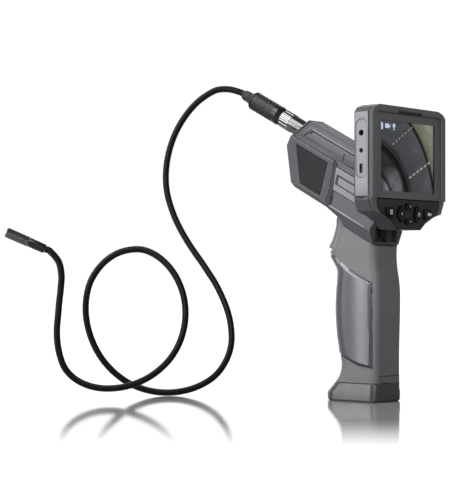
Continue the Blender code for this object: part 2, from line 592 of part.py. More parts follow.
bezel = slab("monitor_bezel", MON_OUTLINE, MON_SPLIT, MON_RIM, along_y, BODY)
shape(bezel, slab("cut_bezel_face", [(-42.4, 221.6), (42.4, 221.6), (42.4, 156.0), (60, 156.0),
                                     (60, 100), (-60, 100), (-60, 156.0), (-42.4, 156.0)],
                  MON_FACE, -60, along_y))
shape(bezel, box("cut_screen_window", (-SCREEN_W / 2 - 0.3, SCREEN_W / 2 + 0.3), (-60, -30),
                 (SCREEN_Z - SCREEN_H / 2 - 0.3, SCREEN_Z + SCREEN_H / 2 + 0.3)))
CHIN = mirrored([(41.4, 155.6), (41.0, 150.6), (36.2, 145.0), (33.0, 143.8), (22.4, 139.2), (15.6, 133.8)])
shape(bezel, slab("cut_chin_seat", inset_outline(CHIN, -0.3), MON_FACE + 1.1, -60, along_y))
chin = slab("keypad_panel", CHIN, MON_FACE + 0.8, MON_FACE - 0.1, along_y, DARK)

KEYS = {
    "menu": [(-30.4, 144.4), (-25.0, 141.6), (-20.0, 141.6), (-20.0, 149.0), (-30.4, 149.0)],
    "record": [(20.0, 141.6), (25.0, 141.6), (30.4, 144.4), (30.4, 149.0), (20.0, 149.0)],
    "up": [(-4.2, 148.6), (4.2, 148.6), (5.6, 151.2), (3.6, 152.9), (-3.6, 152.9), (-5.6, 151.2)],
    "down": [(-5.6, 138.6), (-3.6, 136.9), (3.6, 136.9), (5.6, 138.6), (4.2, 141.2), (-4.2, 141.2)],
    "left": [(-8.0, 139.6), (-6.8, 144.9), (-8.0, 150.2), (-11.6, 150.6), (-15.0, 147.6), (-15.8, 144.9),
             (-15.0, 142.2), (-11.6, 139.2)],
    "right": [(8.0, 139.6), (11.6, 139.2), (15.0, 142.2), (15.8, 144.9), (15.0, 147.6), (11.6, 150.6),
              (8.0, 150.2), (6.8, 144.9)],
}
for key, outline in KEYS.items():
    centre = Vector((sum(p[0] for p in outline), sum(p[1] for p in outline))) / len(outline)

    def grown(d):
        pts = []
        for p in outline:
            v = Vector(p) - centre
            pts.append(tuple(centre + v * (1 + d / v.length)))
        return pts
    hole = slab("cut_key_" + key, grown(0.55), -30, -60, along_y)
    shape(bezel, hole)
    shape(chin, hole)
    button = slab("button_" + key, grown(0.0), BUTTON_FACE, -35.0, along_y, BLACK)
    flange = grown(1.1)
    if key in ("menu", "record"):
        flange = rounded(centre.x - 6.2, centre.x + 6.2, 144.9, 150.2, 0.6, 0.6, 2)
    shape(button, slab("cut_flange_" + key, flange, -35.7, -34.9, along_y), "UNION")

slab("keypad_mat", mirrored([(33.0, 153.6), (33.0, 146.4), (22.0, 141.0), (13.4, 135.8)]), -33.7, -31.2,
     along_y, SOFT)
slab("monitor_board", mirrored([(38.6, 220.0), (38.6, 153.0), (30.0, 147.0), (20.0, 141.0)]), -30.9, -29.3,
     along_y, BOARD)
box("monitor_battery", (14.0, 44.0), (-28.8, -25.2), (164.0, 212.0), CELL)
box("lcd_panel", (-38.4, 38.4), (-35.6, -31.4), (SCREEN_Z - 28.6, SCREEN_Z + 28.6), DARK)
box("screen_glass", (-SCREEN_W / 2, SCREEN_W / 2), (-37.7, -36.6),
    (SCREEN_Z - SCREEN_H / 2, SCREEN_Z + SCREEN_H / 2), ((0.02, 0.022, 0.026), 0.0, 0.08))

# T rail on the rear of the barrel; the monitor slides down over it
rail = box("dock_rail", (-4.0, 4.0), (-24.6, REAR_Y - GAP), (148.0, 180.0), DARK)
shape(rail, box("cut_rail_tee", (-7.5, 7.5), (-26.4, -24.3), (148.0, 180.0)), "UNION")

# ---------------------------------------------------------------- case screws
for i, (y, z) in enumerate(BARREL_SCREWS):
    screw("barrel_screw_%d" % (i + 1), y, z, BARREL_HALF)
for i, (y, z) in enumerate(GRIP_SCREWS):
    screw("grip_screw_%d" % (i + 1), y, z, 16.9)
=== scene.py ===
"""Visual model of an inspection camera: housings, grip, screen, keys, connector and gooseneck."""
import json
import math

import bmesh
import bpy
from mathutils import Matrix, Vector

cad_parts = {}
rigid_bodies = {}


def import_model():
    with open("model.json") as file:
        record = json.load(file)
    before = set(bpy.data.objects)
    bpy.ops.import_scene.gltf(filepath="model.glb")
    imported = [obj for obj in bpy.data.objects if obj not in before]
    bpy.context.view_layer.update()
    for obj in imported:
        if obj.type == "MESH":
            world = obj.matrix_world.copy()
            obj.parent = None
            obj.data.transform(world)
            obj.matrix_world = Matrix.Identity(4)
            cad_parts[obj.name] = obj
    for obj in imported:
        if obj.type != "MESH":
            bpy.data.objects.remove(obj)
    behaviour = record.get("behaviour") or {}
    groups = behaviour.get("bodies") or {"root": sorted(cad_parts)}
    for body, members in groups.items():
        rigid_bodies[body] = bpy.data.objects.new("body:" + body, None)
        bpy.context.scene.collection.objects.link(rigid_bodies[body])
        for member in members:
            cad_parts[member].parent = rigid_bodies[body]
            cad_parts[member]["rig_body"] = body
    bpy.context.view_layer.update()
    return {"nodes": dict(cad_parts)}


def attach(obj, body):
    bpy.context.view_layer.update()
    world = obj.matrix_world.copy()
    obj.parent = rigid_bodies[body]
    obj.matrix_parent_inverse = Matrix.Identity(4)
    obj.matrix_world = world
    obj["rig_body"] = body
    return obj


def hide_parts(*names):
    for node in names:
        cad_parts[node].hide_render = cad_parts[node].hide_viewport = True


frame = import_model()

NODES = frame["nodes"]
MM = 0.001

# ------------------------------------------------------------------ working frame (as in the CAD)
TILT = math.radians(28.0)
AXIS_Y, AXIS_Z = 23.0, 193.8
SLEEVE_START, SLEEVE_END, SLEEVE_R, BOOT_END = 69.8, 105.2, 7.75, 118.0
BUTTON_FACE = -40.2
COWL_SIDE = 24.1
FRONT_END = AXIS_Y + (SLEEVE_END - 0.4) * math.cos(TILT) + SLEEVE_R * math.sin(TILT)
FRAME_Y = (FRONT_END + BUTTON_FACE) / 2


def world(x, y, z):
    return Vector((x * MM, (y - FRAME_Y) * MM, z * MM))


def barrel(x, t, n):
    """A point given along (t) and above (n) the tilted socket axis, in millimetres."""
    return (x, AXIS_Y + t * math.cos(TILT) - n * math.sin(TILT),
            AXIS_Z + t * math.sin(TILT) + n * math.cos(TILT))


AXIS = Vector(barrel(0, 1, 0)) - Vector(barrel(0, 0, 0))

# ------------------------------------------------------------------ camera
camera = bpy.data.objects.new("camera", bpy.data.cameras.new("camera"))
bpy.context.scene.collection.objects.link(camera)
camera.data.lens = 115.0
camera.data.sensor_width = 36.0
camera.data.clip_start, camera.data.clip_end = 0.05, 60.0
camera.data.shift_y = 0.0507
camera.location = (-1.0229, -0.7803, 0.0968)
camera.rotation_euler = (math.radians(90.0), 0.0, math.radians(-49.0))
bpy.context.scene.camera = camera


# ------------------------------------------------------------------ materials
def rgba(colour):
    """An opaque colour for a constant; another node's output passes through."""
    return (*colour, 1.0) if isinstance(colour, tuple) else colour


class Graph:
    """Short ways to add the nodes of a material or of the world."""

    def __init__(self, tree):
        self.nodes, self.links = tree.nodes, tree.links

    def put(self, kind, sockets=(), **settings):
        """Add a node; each of its sockets takes a constant or another node's output."""
        node = self.nodes.new("ShaderNode" + kind)
        for key, value in settings.items():
            setattr(node, key, value)
        for key, value in sockets:
            if isinstance(value, bpy.types.NodeSocket):
                self.links.new(value, node.inputs[key])
            else:
                node.inputs[key].default_value = value
        return node

    def math(self, op, *values, clamp=False):
        return self.put("Math", enumerate(values), operation=op, use_clamp=clamp).outputs[0]

    def vector(self, op, *values):
        return self.put("VectorMath", enumerate(values), operation=op).outputs["Value"]

    def span(self, value, reach, onto, how="LINEAR"):
        """Map a value from one range onto another."""
        sockets = [("Value", value), ("From Min", reach[0]), ("From Max", reach[1]),
                   ("To Min", onto[0]), ("To Max", onto[1])]
        return self.put("MapRange", sockets, interpolation_type=how).outputs["Result"]

    def ramp(self, value, stops):
        node = self.put("ValToRGB", [("Fac", value)])
        elements = node.color_ramp.elements
        while len(elements) < len(stops):
            elements.new(0.5)
        for element, (at, colour) in zip(elements, stops):
            element.position = at
            element.color = rgba(colour)
        return node.outputs["Color"]

    def mix(self, share, a, b, blend="MIX"):
        """Mix two colours; 0, 6 and 7 are the node's factor and colour sockets."""
        sockets = [(0, share), (6, rgba(a)), (7, rgba(b))]
        return self.put("Mix", sockets, data_type="RGBA", blend_type=blend).outputs[2]


class Look(Graph):
    """A Principled material with noise-driven colour, roughness and grain."""

    def __init__(self, name, base, rough=0.5, metal=0.0, **sockets):
        self.mat = bpy.data.materials.new(name)
        self.mat.use_nodes = True
        super().__init__(self.mat.node_tree)
        self.bsdf = self.nodes["Principled BSDF"]
        self.coord = self.put("TexCoord").outputs["Object"]
        self.base, self.rough, self.normal = base, rough, None
        self.set("Base Color", rgba(base))
        self.set("Roughness", rough)
        self.set("Metallic", metal)
        for key, value in sockets.items():
            self.set(key.replace("_", " "), value)

    def set(self, socket, value):
        self.bsdf.inputs[socket].default_value = value

    def feed(self, socket, output):
        self.links.new(output, self.bsdf.inputs[socket])

    def noise(self, scale, detail=3.0, stretch=None):
        source = self.coord
        if stretch:
            source = self.put("Mapping", [("Vector", source), ("Scale", stretch)]).outputs["Vector"]
        sockets = [("Vector", source), ("Scale", scale), ("Detail", detail)]
        return self.put("TexNoise", sockets).outputs["Fac"]

    def edges_for_wear_and_highlight(self, radius=0.0005, gain=5.0):
        """How much a point lies on an edge, from a rounded normal that turns away from the flat one."""
        rounded = self.put("Bevel", [("Radius", radius)], samples=4).outputs["Normal"]
        flat = self.put("NewGeometry").outputs["Normal"]
        turned = self.math("SUBTRACT", 1.0, self.vector("DOT_PRODUCT", rounded, flat), clamp=True)
        return self.math("MULTIPLY", turned, gain, clamp=True)

    def tones(self, spread=0.06, scale=45.0, edge=0.0):
        """Slow colour drift, and slightly paler moulded edges where edge is set: partly wear, partly a
        painted highlight along the rounded edges.
        """
        low = tuple(c * (1 - spread) for c in self.base)
        high = tuple(c * (1 + spread) for c in self.base)
        colour = self.ramp(self.noise(scale), [(0.3, low), (0.7, high)])
        if edge:
            # Paler edges: partly wear, partly a painted highlight where light would catch them.
            wear_and_highlight = self.math("MULTIPLY", self.edges_for_wear_and_highlight(), self.noise(900.0, 2.0))
            pale = tuple(min(1.0, c * (1 + edge) + 0.01) for c in self.base)
            colour = self.mix(wear_and_highlight, colour, pale)
        self.feed("Base Color", colour)
        return self

    def sheen(self, spread=0.08, scale=120.0):
        """Uneven roughness, as handled surfaces have."""
        onto = (self.rough - spread, self.rough + spread)
        self.feed("Roughness", self.span(self.noise(scale, 4.0), (0.0, 1.0), onto))
        return self

    def bump(self, height, strength=0.3, depth=0.00005):
        sockets = [("Strength", strength), ("Distance", depth), ("Height", height)]
        if self.normal:
            sockets.append(("Normal", self.normal))
        self.normal = self.put("Bump", sockets).outputs["Normal"]
        self.feed("Normal", self.normal)
        return self

    def glow(self, colour, strength):
        self.feed("Emission Color", colour)
        self.set("Emission Strength", strength)
        return self


def plastic(name, base, rough=0.48, edge=0.3, **more):
    look = Look(name, base, rough, **more).tones(0.05, 40.0, edge).sheen(0.06)
    return look.bump(look.noise(2600.0, 2.0), 0.35, 0.00005).mat


def rubber(name, base, rough=0.6, edge=0.12, **more):
    look = Look(name, base, rough, **more).tones(0.07, 60.0, edge).sheen(0.05, 200.0)
    return look.bump(look.noise(4200.0, 2.0), 0.25, 0.00004).mat


def metal(name, base, rough=0.15, **more):
    look = Look(name, base, rough, 1.0, **more).tones(0.05, 300.0).sheen(0.04, 700.0)
    return look.bump(look.noise(400.0, 2.0, (1, 1, 8)), 0.12, 0.00002).mat


SCREEN_CORNER = (-0.0477, 0.1452)              # x and z, in metres, that the pictured rings run round
RING_SPAN = 110.0                              # radius in millimetres that the colour ramp reaches
RINGS = (                                      # radius in millimetres, colour
    (0.0, (0.012, 0.012, 0.013)), (30.0, (0.018, 0.018, 0.020)), (31.5, (0.002, 0.002, 0.002)),
    (33.6, (0.003, 0.003, 0.003)), (34.6, (0.010, 0.010, 0.011)), (47.0, (0.030, 0.030, 0.031)),
    (50.0, (0.008, 0.008, 0.009)), (51.0, (0.003, 0.003, 0.003)), (54.6, (0.003, 0.003, 0.003)),
    (55.2, (0.075, 0.076, 0.078)), (55.9, (0.004, 0.004, 0.004)), (57.0, (0.030, 0.031, 0.033)),
    (60.0, (0.058, 0.059, 0.063)), (85.0, (0.082, 0.084, 0.088)), (87.0, (0.006, 0.006, 0.006)),
    (88.6, (0.010, 0.010, 0.010)), (90.0, (0.13, 0.15, 0.09)), (103.0, (0.26, 0.27, 0.21)))
WOBBLE = 0.0012                                # how far, in metres, the rings wander
SHINE_X, SHINE_TOP = -0.020, 0.181             # where, in metres, light falls between the rings
SHINE_NARROW, SHINE_FADE, SHINE_GAIN = 60.0, 70.0, 30.0


def lit_screen():
    """A dim pipe interior: joint rings about a corner and a bright wall behind them."""
    look = Look("lcd_picture", (0.004, 0.004, 0.005), 0.45, Specular_IOR_Level=0.05)
    place = look.put("SeparateXYZ", [(0, look.coord)]).outputs
    cloud = look.noise(90.0, 4.0)

    dx = look.math("SUBTRACT", place["X"], SCREEN_CORNER[0])
    dz = look.math("SUBTRACT", place["Z"], SCREEN_CORNER[1])
    square = look.math("ADD", look.math("MULTIPLY", dx, dx), look.math("MULTIPLY", dz, dz))
    wobble = look.math("MULTIPLY", look.math("SUBTRACT", cloud, 0.5), WOBBLE)
    radius = look.math("ADD", look.math("SQRT", square), wobble)
    ring = look.math("MULTIPLY", radius, 1.0 / (RING_SPAN * MM))
    picture = look.ramp(ring, [(mm / RING_SPAN, colour) for mm, colour in RINGS])

    aside = look.math("ABSOLUTE", look.math("SUBTRACT", place["X"], SHINE_X))
    across = look.math("SUBTRACT", 1.0, look.math("MULTIPLY", aside, SHINE_NARROW), clamp=True)
    patch = look.math("MULTIPLY", look.math("MULTIPLY", across, 0.9), cloud)
    below = look.math("SUBTRACT", SHINE_TOP, place["Z"])
    low = look.math("MULTIPLY", below, SHINE_FADE, clamp=True)
    shine = look.mix(look.math("MULTIPLY", patch, low), (1.0,) * 3, (SHINE_GAIN,) * 3)
    picture = look.mix(1.0, picture, shine, "MULTIPLY")
    mottle = look.ramp(cloud, [(0.25, (0.75,) * 3), (0.8, (1.2,) * 3)])
    return look.glow(look.mix(1.0, picture, mottle, "MULTIPLY"), 1.0).mat


def glowing(name, colour, strength):
    look = Look(name, tuple(c * 0.3 for c in colour), 0.5)
    tint = look.ramp(look.noise(500.0, 2.0), [(0.3, tuple(c * 0.92 for c in colour)), (0.7, colour)])
    return look.glow(tint, strength).mat


def cover_glass():
    look = Look("cover_glass", (0.92, 0.93, 0.95), 0.02, IOR=1.12, Transmission_Weight=1.0)
    return look.tones(0.02, 60.0).sheen(0.01, 300.0).mat


LOOKS = {
    # body and cowl take strongly paler edges: partly wear, partly a painted highlight along their rounded
    # edges
    "body": plastic("body_plastic", (0.062, 0.066, 0.073), 0.5, 1.2),
    "shell": plastic("shell_plastic_and_shade", (0.045, 0.047, 0.052)),
    "handle": plastic("handle_plastic", (0.122, 0.125, 0.130)),
    "panel": plastic("panel_plastic", (0.158, 0.157, 0.178), 0.42),
    # also the pale lip, ridge and strip that paint highlights on the barrel and the bezel
    "side": plastic("monitor_side_plastic_and_highlight", (0.192, 0.190, 0.205), 0.42),
    "bezel": plastic("bezel_plastic", (0.088, 0.091, 0.096), 0.5),
    # also dark sheets that paint shade in the side slots, the notch and under the top rim
    "dark": plastic("dark_plastic_and_shade", (0.018, 0.019, 0.022), 0.5, Specular_IOR_Level=0.35),
    # also the dark inlays that paint the shade of grooves on the barrel
    "label": plastic("label_plastic_and_shade", (0.010, 0.011, 0.013), 0.45, 0.1, Specular_IOR_Level=0.15),
    "foot": plastic("foot_plastic", (0.042, 0.044, 0.048), 0.32, Specular_IOR_Level=0.6),
    "pad": rubber("pad_rubber", (0.058, 0.057, 0.069), 0.30, Specular_IOR_Level=0.9),
    "key": rubber("key_rubber", (0.004, 0.004, 0.005), 0.25, 0.0, Specular_IOR_Level=0.3),
    "black": plastic("black_plastic", (0.008, 0.008, 0.009), 0.4, 0.15),
    "anodised": plastic("black_anodised", (0.005, 0.005, 0.006), 0.28, 0.5, Specular_IOR_Level=0.33),
    "head": plastic("camera_head_finish", (0.012, 0.012, 0.013), 0.22, 0.3, Specular_IOR_Level=1.0),
    "chrome": metal("chrome_plate", (0.150, 0.147, 0.144), 0.16),
    "steel": metal("zinc_steel", (0.45, 0.45, 0.46), 0.28),
    "board": plastic("board_green", (0.02, 0.13, 0.05), 0.35),
    "cell": metal("cell_wrap", (0.62, 0.60, 0.55), 0.3),
    "sheath": rubber("sheath_rubber", (0.004, 0.004, 0.005), 0.30, 0.0, Specular_IOR_Level=0.14),
    "boot": rubber("boot_rubber", (0.016, 0.016, 0.018), 0.5, Specular_IOR_Level=0.35),
    "cowl": plastic("cowl_plastic", (0.037, 0.039, 0.044), 0.5, 1.2),
    "lcd": lit_screen(),
    "glass": cover_glass(),
    "lens": rubber("lens_coating", (0.010, 0.012, 0.030), 0.12, 0.0, Coat_Weight=1.0),
    "led": glowing("led_phosphor", (0.95, 0.93, 0.80), 0.4),
    "mark": rubber("mark_paint", (0.62, 0.62, 0.64), 0.5, 0.0),
    "icon": glowing("screen_icon", (0.60, 0.66, 0.90), 0.9),
    "dash": glowing("screen_dash", (0.42, 0.43, 0.42), 0.75),
}


# ------------------------------------------------------------------ mesh helpers
def piece(name, verts, faces, look, node=None, body=None, slot=None, flat=33.0):
    """A shown piece from working-frame points. node is the CAD node it stands for."""
    mesh = bpy.data.meshes.new(name)
    mesh.from_pydata([tuple(world(*v)) for v in verts], [], [tuple(f) for f in faces])
    bm = bmesh.new()
    bm.from_mesh(mesh)
    bmesh.ops.recalc_face_normals(bm, faces=bm.faces)
    bm.to_mesh(mesh)
    bm.free()
    ob = bpy.data.objects.new(name, mesh)
    bpy.context.scene.collection.objects.link(ob)
    return finish_piece(ob, look, node, body, flat)


def finish_piece(ob, look, node=None, body=None, flat=33.0):
    """Give a shown piece its look and body; a cutter has no look and stays as it is."""
    if look is None:
        return ob
    ob.data.materials.clear()
    ob.data.materials.append(LOOKS[look])
    ob.data.shade_smooth()
    ob.data.set_sharp_from_angle(angle=math.radians(flat))
    if node:
        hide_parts(node)
        body = NODES[node]["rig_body"]
    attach(ob, body)
    return ob


def grid(rows, caps=True):
    """Vertices and quads through closed rows of equal count; caps close both ends."""
    count = len(rows[0])
    verts = [tuple(p) for row in rows for p in row]
    faces = []
    for i in range(len(rows) - 1):
        for j in range(count):
            k = (j + 1) % count
            faces.append((i * count + j, i * count + k, (i + 1) * count + k, (i + 1) * count + j))
    if caps:
        faces.append(tuple(range(count))[::-1])
        faces.append(tuple((len(rows) - 1) * count + j for j in range(count)))
    return verts, faces


def loft(name, rows, look=None, **more):
    """A closed solid through rows of points."""
    return piece(name, *grid(rows), look, **more)


def slab(name, outline, low, high, place, look=None, **more):
    """An outline extruded between low and high; place(a, b, c) gives the point."""
    return loft(name, [[place(a, b, c) for a, b in outline] for c in (low, high)], look, **more)


def along_x(a, b, c):
    return (c, a, b)


def along_y(a, b, c):
    return (a, c, b)


def along_z(a, b, c):
    return (a, b, c)


def side_of_barrel(a, b, c):
    return barrel(c, a, b)


def rectangle(x0, x1, y0, y1):
    return [(x0, y0), (x1, y0), (x1, y1), (x0, y1)]


def circle(cx, cy, r, steps=32):
    return [(cx + r * math.cos(2 * math.pi * i / steps), cy + r * math.sin(2 * math.pi * i / steps))
            for i in range(steps)]


def lathe(name, base, axis, profile, look, steps=48, ripple=None, bore=False, **more):
    """Turn (distance, radius) pairs about an axis; ripple(s, angle, r) may vary the radius."""
    base, axis = Vector(base), Vector(axis).normalized()
    side = axis.orthogonal().normalized()
    up = axis.cross(side)
    rows = []
    for s, r in profile:
        row = []
        for j in range(steps):
            a = 2 * math.pi * j / steps
            q = max(ripple(s, a, r) if ripple else r, 0.02)
            row.append(base + axis * s + (side * math.cos(a) + up * math.sin(a)) * q)
        rows.append(row)
    if bore:
        rows.append(rows[0])
    verts, faces = grid(rows, caps=not bore)
    if bore:                                   # join the last ring to the first one
        last = (len(rows) - 1) * steps
        faces = [tuple(v - last if v >= last else v for v in f) for f in faces]
        verts = verts[:last]
    return piece(name, verts, faces, look, **more)


def carve(ob, cutter, how="DIFFERENCE"):
    """Apply an exact boolean at once and drop the cutter."""
    mod = ob.modifiers.new("carve", "BOOLEAN")
    mod.operation, mod.solver, mod.object = how, "EXACT", cutter
    deps = bpy.context.evaluated_depsgraph_get()
    mesh = bpy.data.meshes.new_from_object(ob.evaluated_get(deps))
    ob.modifiers.clear()
    ob.data = mesh
    bpy.data.objects.remove(cutter, do_unlink=True)
    return ob


MERGE, FLAT = 4e-6, math.radians(0.6)          # points this close are one, and so are faces this level


def soften(ob, width, segments=2, above=22.0, shortest=0.0, skip=None):
    """Round every edge sharper than the angle, in the mesh itself; skip(point) leaves an edge crisp."""
    bm = bmesh.new()
    bm.from_mesh(ob.data)
    bmesh.ops.remove_doubles(bm, verts=bm.verts, dist=MERGE)
    bmesh.ops.dissolve_limit(bm, angle_limit=FLAT, verts=bm.verts, edges=bm.edges)
    sharp = [e for e in bm.edges if len(e.link_faces) == 2
             and e.calc_face_angle(0.0) > math.radians(above) and e.calc_length() > shortest * MM
             and not (skip and skip((e.verts[0].co + e.verts[1].co) / 2))]
    bmesh.ops.bevel(bm, geom=sharp, offset=width * MM, segments=segments, profile=0.5,
                    affect="EDGES", clamp_overlap=False)
    bmesh.ops.triangulate(bm, faces=[f for f in bm.faces if len(f.verts) > 4])
    bm.to_mesh(ob.data)
    bm.free()
    return ob


def weighted(ob):
    """Shade by face area, so that flat faces look flat beside their rounded edges."""
    mod = ob.modifiers.new("weighted", "WEIGHTED_NORMAL")
    mod.keep_sharp = True
    return ob


def skin(node, look, width=0.4, segments=2, details=(), shortest=0.0, flat=50.0, skip=None):
    """A rounded, detailed skin with a CAD node's own shape, in its place."""
    mesh = NODES[node].data.copy()
    mesh.name = node + "_skin"
    ob = bpy.data.objects.new(node + "_skin", mesh)
    bpy.context.scene.collection.objects.link(ob)
    for cutter, how in details:
        carve(ob, cutter, how)
    soften(ob, width, segments, shortest=shortest, skip=skip)
    finish_piece(ob, look, node, flat=flat)
    return weighted(ob)


def second_look(ob, look, chosen):
    """Give the faces for which chosen(face) holds another look."""
    ob.data.materials.append(LOOKS[look])
    for face in ob.data.polygons:
        if chosen(face):
            face.material_index = 1


def dress(node, look):
    """Keep a CAD node and give it a finished material."""
    NODES[node].data.materials.clear()
    NODES[node].data.materials.append(LOOKS[look])


def arc(cx, cy, r, start, steps):
    """Points along a quarter of a circle, from an angle in degrees."""
    angles = [math.radians(start + 90.0 * i / steps) for i in range(steps + 1)]
    return [(cx + r * math.cos(a), cy + r * math.sin(a)) for a in angles]


def stadium(x0, x1, y0, y1, r, steps=10):
    """A rectangle with round corners."""
    return (arc(x1 - r, y0 + r, r, -90, steps) + arc(x1 - r, y1 - r, r, 0, steps)
            + arc(x0 + r, y1 - r, r, 90, steps) + arc(x0 + r, y0 + r, r, 180, steps))


PER_POINT = 12                                 # steps of the curve between two chosen points


def smooth_route(points, count):
    """Catmull-Rom through the chosen points, resampled to even steps."""
    fine = []
    ends = [tuple(2 * a - b for a, b in zip(points[0], points[1]))] + list(points)
    ends.append(tuple(2 * a - b for a, b in zip(points[-1], points[-2])))
    for i in range(1, len(ends) - 2):
        p0, p1, p2, p3 = (Vector(p) for p in ends[i - 1:i + 3])
        for k in range(PER_POINT):
            u = k / PER_POINT
            fine.append(0.5 * (2 * p1 + (p2 - p0) * u + (2 * p0 - 5 * p1 + 4 * p2 - p3) * u * u
                               + (3 * p1 - p0 - 3 * p2 + p3) * u ** 3))
    fine.append(Vector(points[-1]))
    runs = [0.0]
    for a, b in zip(fine, fine[1:]):
        runs.append(runs[-1] + (b - a).length)
    out, j = [], 0
    for i in range(count):
        want = runs[-1] * i / (count - 1)
        while j < len(runs) - 2 and runs[j + 1] < want:
            j += 1
        u = (want - runs[j]) / max(runs[j + 1] - runs[j], 1e-9)
        out.append(tuple(fine[j].lerp(fine[j + 1], min(max(u, 0), 1))))
    return out


# ------------------------------------------------------------------ gooseneck
CORD_R, HEAD_R = 2.8, 4.0
RIB_PITCH, RIB_DEPTH = 1.3, 0.32
ROUTE_STEPS = 78
CORD_POINTS = [
    (-3.2, 139.4, 254.0), (-9.6, 151.6, 253.2), (-18.3, 166.8, 241.4),
    (-26.7, 178.6, 221.1), (-32.0, 184.6, 197.1), (-33.8, 184.4, 172.0), (-31.5, 177.4, 147.8),
    (-26.8, 166.1, 125.8), (-21.5, 152.8, 106.1), (-17.4, 139.6, 85.5), (-16.3, 129.0, 61.9),
    (-20.7, 124.4, 37.9), (-32.8, 128.8, 17.2), (-50.7, 140.3, 5.6), (-70.9, 155.3, 3.0),
    (-89.9, 170.6, 9.8), (-104.7, 183.5, 25.3), (-114.1, 192.0, 46.7), (-118.3, 194.5, 71.8),
    (-115.8, 189.4, 96.1), (-105.6, 175.5, 114.3), (-91.5, 156.9, 118.8), (-80.4, 140.0, 106.8),
    (-74.7, 128.6, 85.1), (-75.4, 125.3, 60.0), (-83.2, 129.7, 36.3), (-98.4, 139.6, 18.8),
    (-117.9, 153.5, 9.7), (-137.0, 169.3, 10.7), (-151.2, 182.0, 23.1), (-157.1, 186.4, 46.7),
    (-157.0, 184.8, 72.3), (-155.9, 182.8, 96.7), (-157.6, 184.6, 109.4), (-164.3, 192.1, 118.6),
]
HEAD_TIP = (-184.3, 215.0, 131.9)
HEAD_ROOT = Vector(CORD_POINTS[-1])
HEAD_RUN = (Vector(HEAD_TIP) - HEAD_ROOT).normalized()
HEAD_SPAN = (Vector(HEAD_TIP) - HEAD_ROOT).length
chosen = [barrel(0, BOOT_END + 4.0, 0)] + CORD_POINTS[:-1] + [tuple(HEAD_ROOT - HEAD_RUN * 4.0)]
route = [barrel(0, BOOT_END + 0.3, 0)] + smooth_route(chosen, ROUTE_STEPS) + [tuple(HEAD_ROOT)]


def ribbed_tube(name, points, radius, pitch, depth, look, rows_per_rib=4, columns=16, **more):
    """A tube whose wrap runs round it in a helix of the given pitch."""
    length = sum((Vector(b) - Vector(a)).length for a, b in zip(points, points[1:]))
    count = int(length / pitch * rows_per_rib)
    line = [Vector(p) for p in smooth_route(points, count)]
    tangent = (line[1] - line[0]).normalized()
    side = tangent.orthogonal().normalized()
    rows = []
    for i, p in enumerate(line):
        ahead = (line[min(i + 1, count - 1)] - line[max(i - 1, 0)]).normalized()
        side = (side - ahead * side.dot(ahead)).normalized()
        up = ahead.cross(side)
        s = length * i / (count - 1)
        row = []
        for j in range(columns):
            a = 2 * math.pi * j / columns
            wave = 0.5 + 0.5 * math.cos(2 * math.pi * s / pitch - a)
            r = radius - depth * (1.0 - wave) ** 2
            row.append(p + (side * math.cos(a) + up * math.sin(a)) * r)
        rows.append(row)
    return loft(name, rows, look, flat=60.0, **more)


gooseneck = ribbed_tube("gooseneck_sheath", route, CORD_R, RIB_PITCH, RIB_DEPTH, "sheath", node="gooseneck")

# ------------------------------------------------------------------ camera head
head_ferrule = lathe("head_ferrule_turned", HEAD_ROOT, HEAD_RUN, [
    (0.3, 2.5), (0.3, 3.0), (1.4, 3.7), (2.6, 3.7), (2.8, 3.45), (3.2, 3.45), (3.4, 3.7), (4.6, 3.7),
    (4.8, 3.45), (5.2, 3.45), (5.4, 3.7), (13.6, 3.7), (14.0, 3.5), (14.0, 2.0)], "anodised",
    node="head_ferrule")
camera_head = lathe("camera_head_turned", HEAD_ROOT, HEAD_RUN, [
    (14.3, 2.0), (14.3, 3.7), (14.7, HEAD_R), (17.4, HEAD_R), (17.6, 3.8), (18.1, 3.8), (18.3, HEAD_R),
    (HEAD_SPAN - 0.6, HEAD_R), (HEAD_SPAN, 3.6), (HEAD_SPAN, 3.3), (HEAD_SPAN - 1.6, 3.3),
    (HEAD_SPAN - 1.6, 0.5)], "head", node="camera_head")
HEAD_SIDE = HEAD_RUN.orthogonal().normalized()
HEAD_UP = HEAD_RUN.cross(HEAD_SIDE)
led_ring = lathe("led_ring_turned", HEAD_ROOT, HEAD_RUN, [
    (HEAD_SPAN - 1.3, 1.5), (HEAD_SPAN - 1.3, 3.0), (HEAD_SPAN - 1.0, 3.0), (HEAD_SPAN - 0.9, 2.9),
    (HEAD_SPAN - 0.9, 1.6), (HEAD_SPAN - 1.0, 1.5)], "board", bore=True, node="led_ring")
leds = []
for i in range(6):
    a = math.pi * i / 3
    spot = HEAD_ROOT + (HEAD_SIDE * math.cos(a) + HEAD_UP * math.sin(a)) * 2.25
    leds.append(lathe("led_%d" % (i + 1), spot, HEAD_RUN, [
        (HEAD_SPAN - 0.88, 0.42), (HEAD_SPAN - 0.7, 0.42), (HEAD_SPAN - 0.55, 0.3), (HEAD_SPAN - 0.5, 0.1)],
        "led", steps=12, body="handle", slot="led_ring"))
lens = lathe("lens_window_turned", HEAD_ROOT, HEAD_RUN, [
    (HEAD_SPAN - 1.3, 0.4), (HEAD_SPAN - 1.3, 1.2), (HEAD_SPAN - 0.8, 1.2), (HEAD_SPAN - 0.7, 1.05),
    (HEAD_SPAN - 0.6, 0.7), (HEAD_SPAN - 0.55, 0.2)], "lens", steps=32, node="lens_window")

# ------------------------------------------------------------------ connector
boot_profile = [
    (98.0, 2.0), (98.0, 3.2), (105.5, 3.2), (105.5, 4.7), (105.9, 4.85), (108.0, 4.8), (108.3, 4.6),
    (112.0, 4.5), (115.6, 4.35), (116.6, 4.1), (117.4, 3.6), (BOOT_END, 3.1), (BOOT_END, 1.0)]
strain_relief = lathe("strain_relief_boot", barrel(0, 0, 0), AXIS, boot_profile, "boot", node="strain_relief")
KNURL_START, KNURL_END, KNURL_DEPTH, KNURL_TEETH = 79.4, 103.0, 0.34, 26


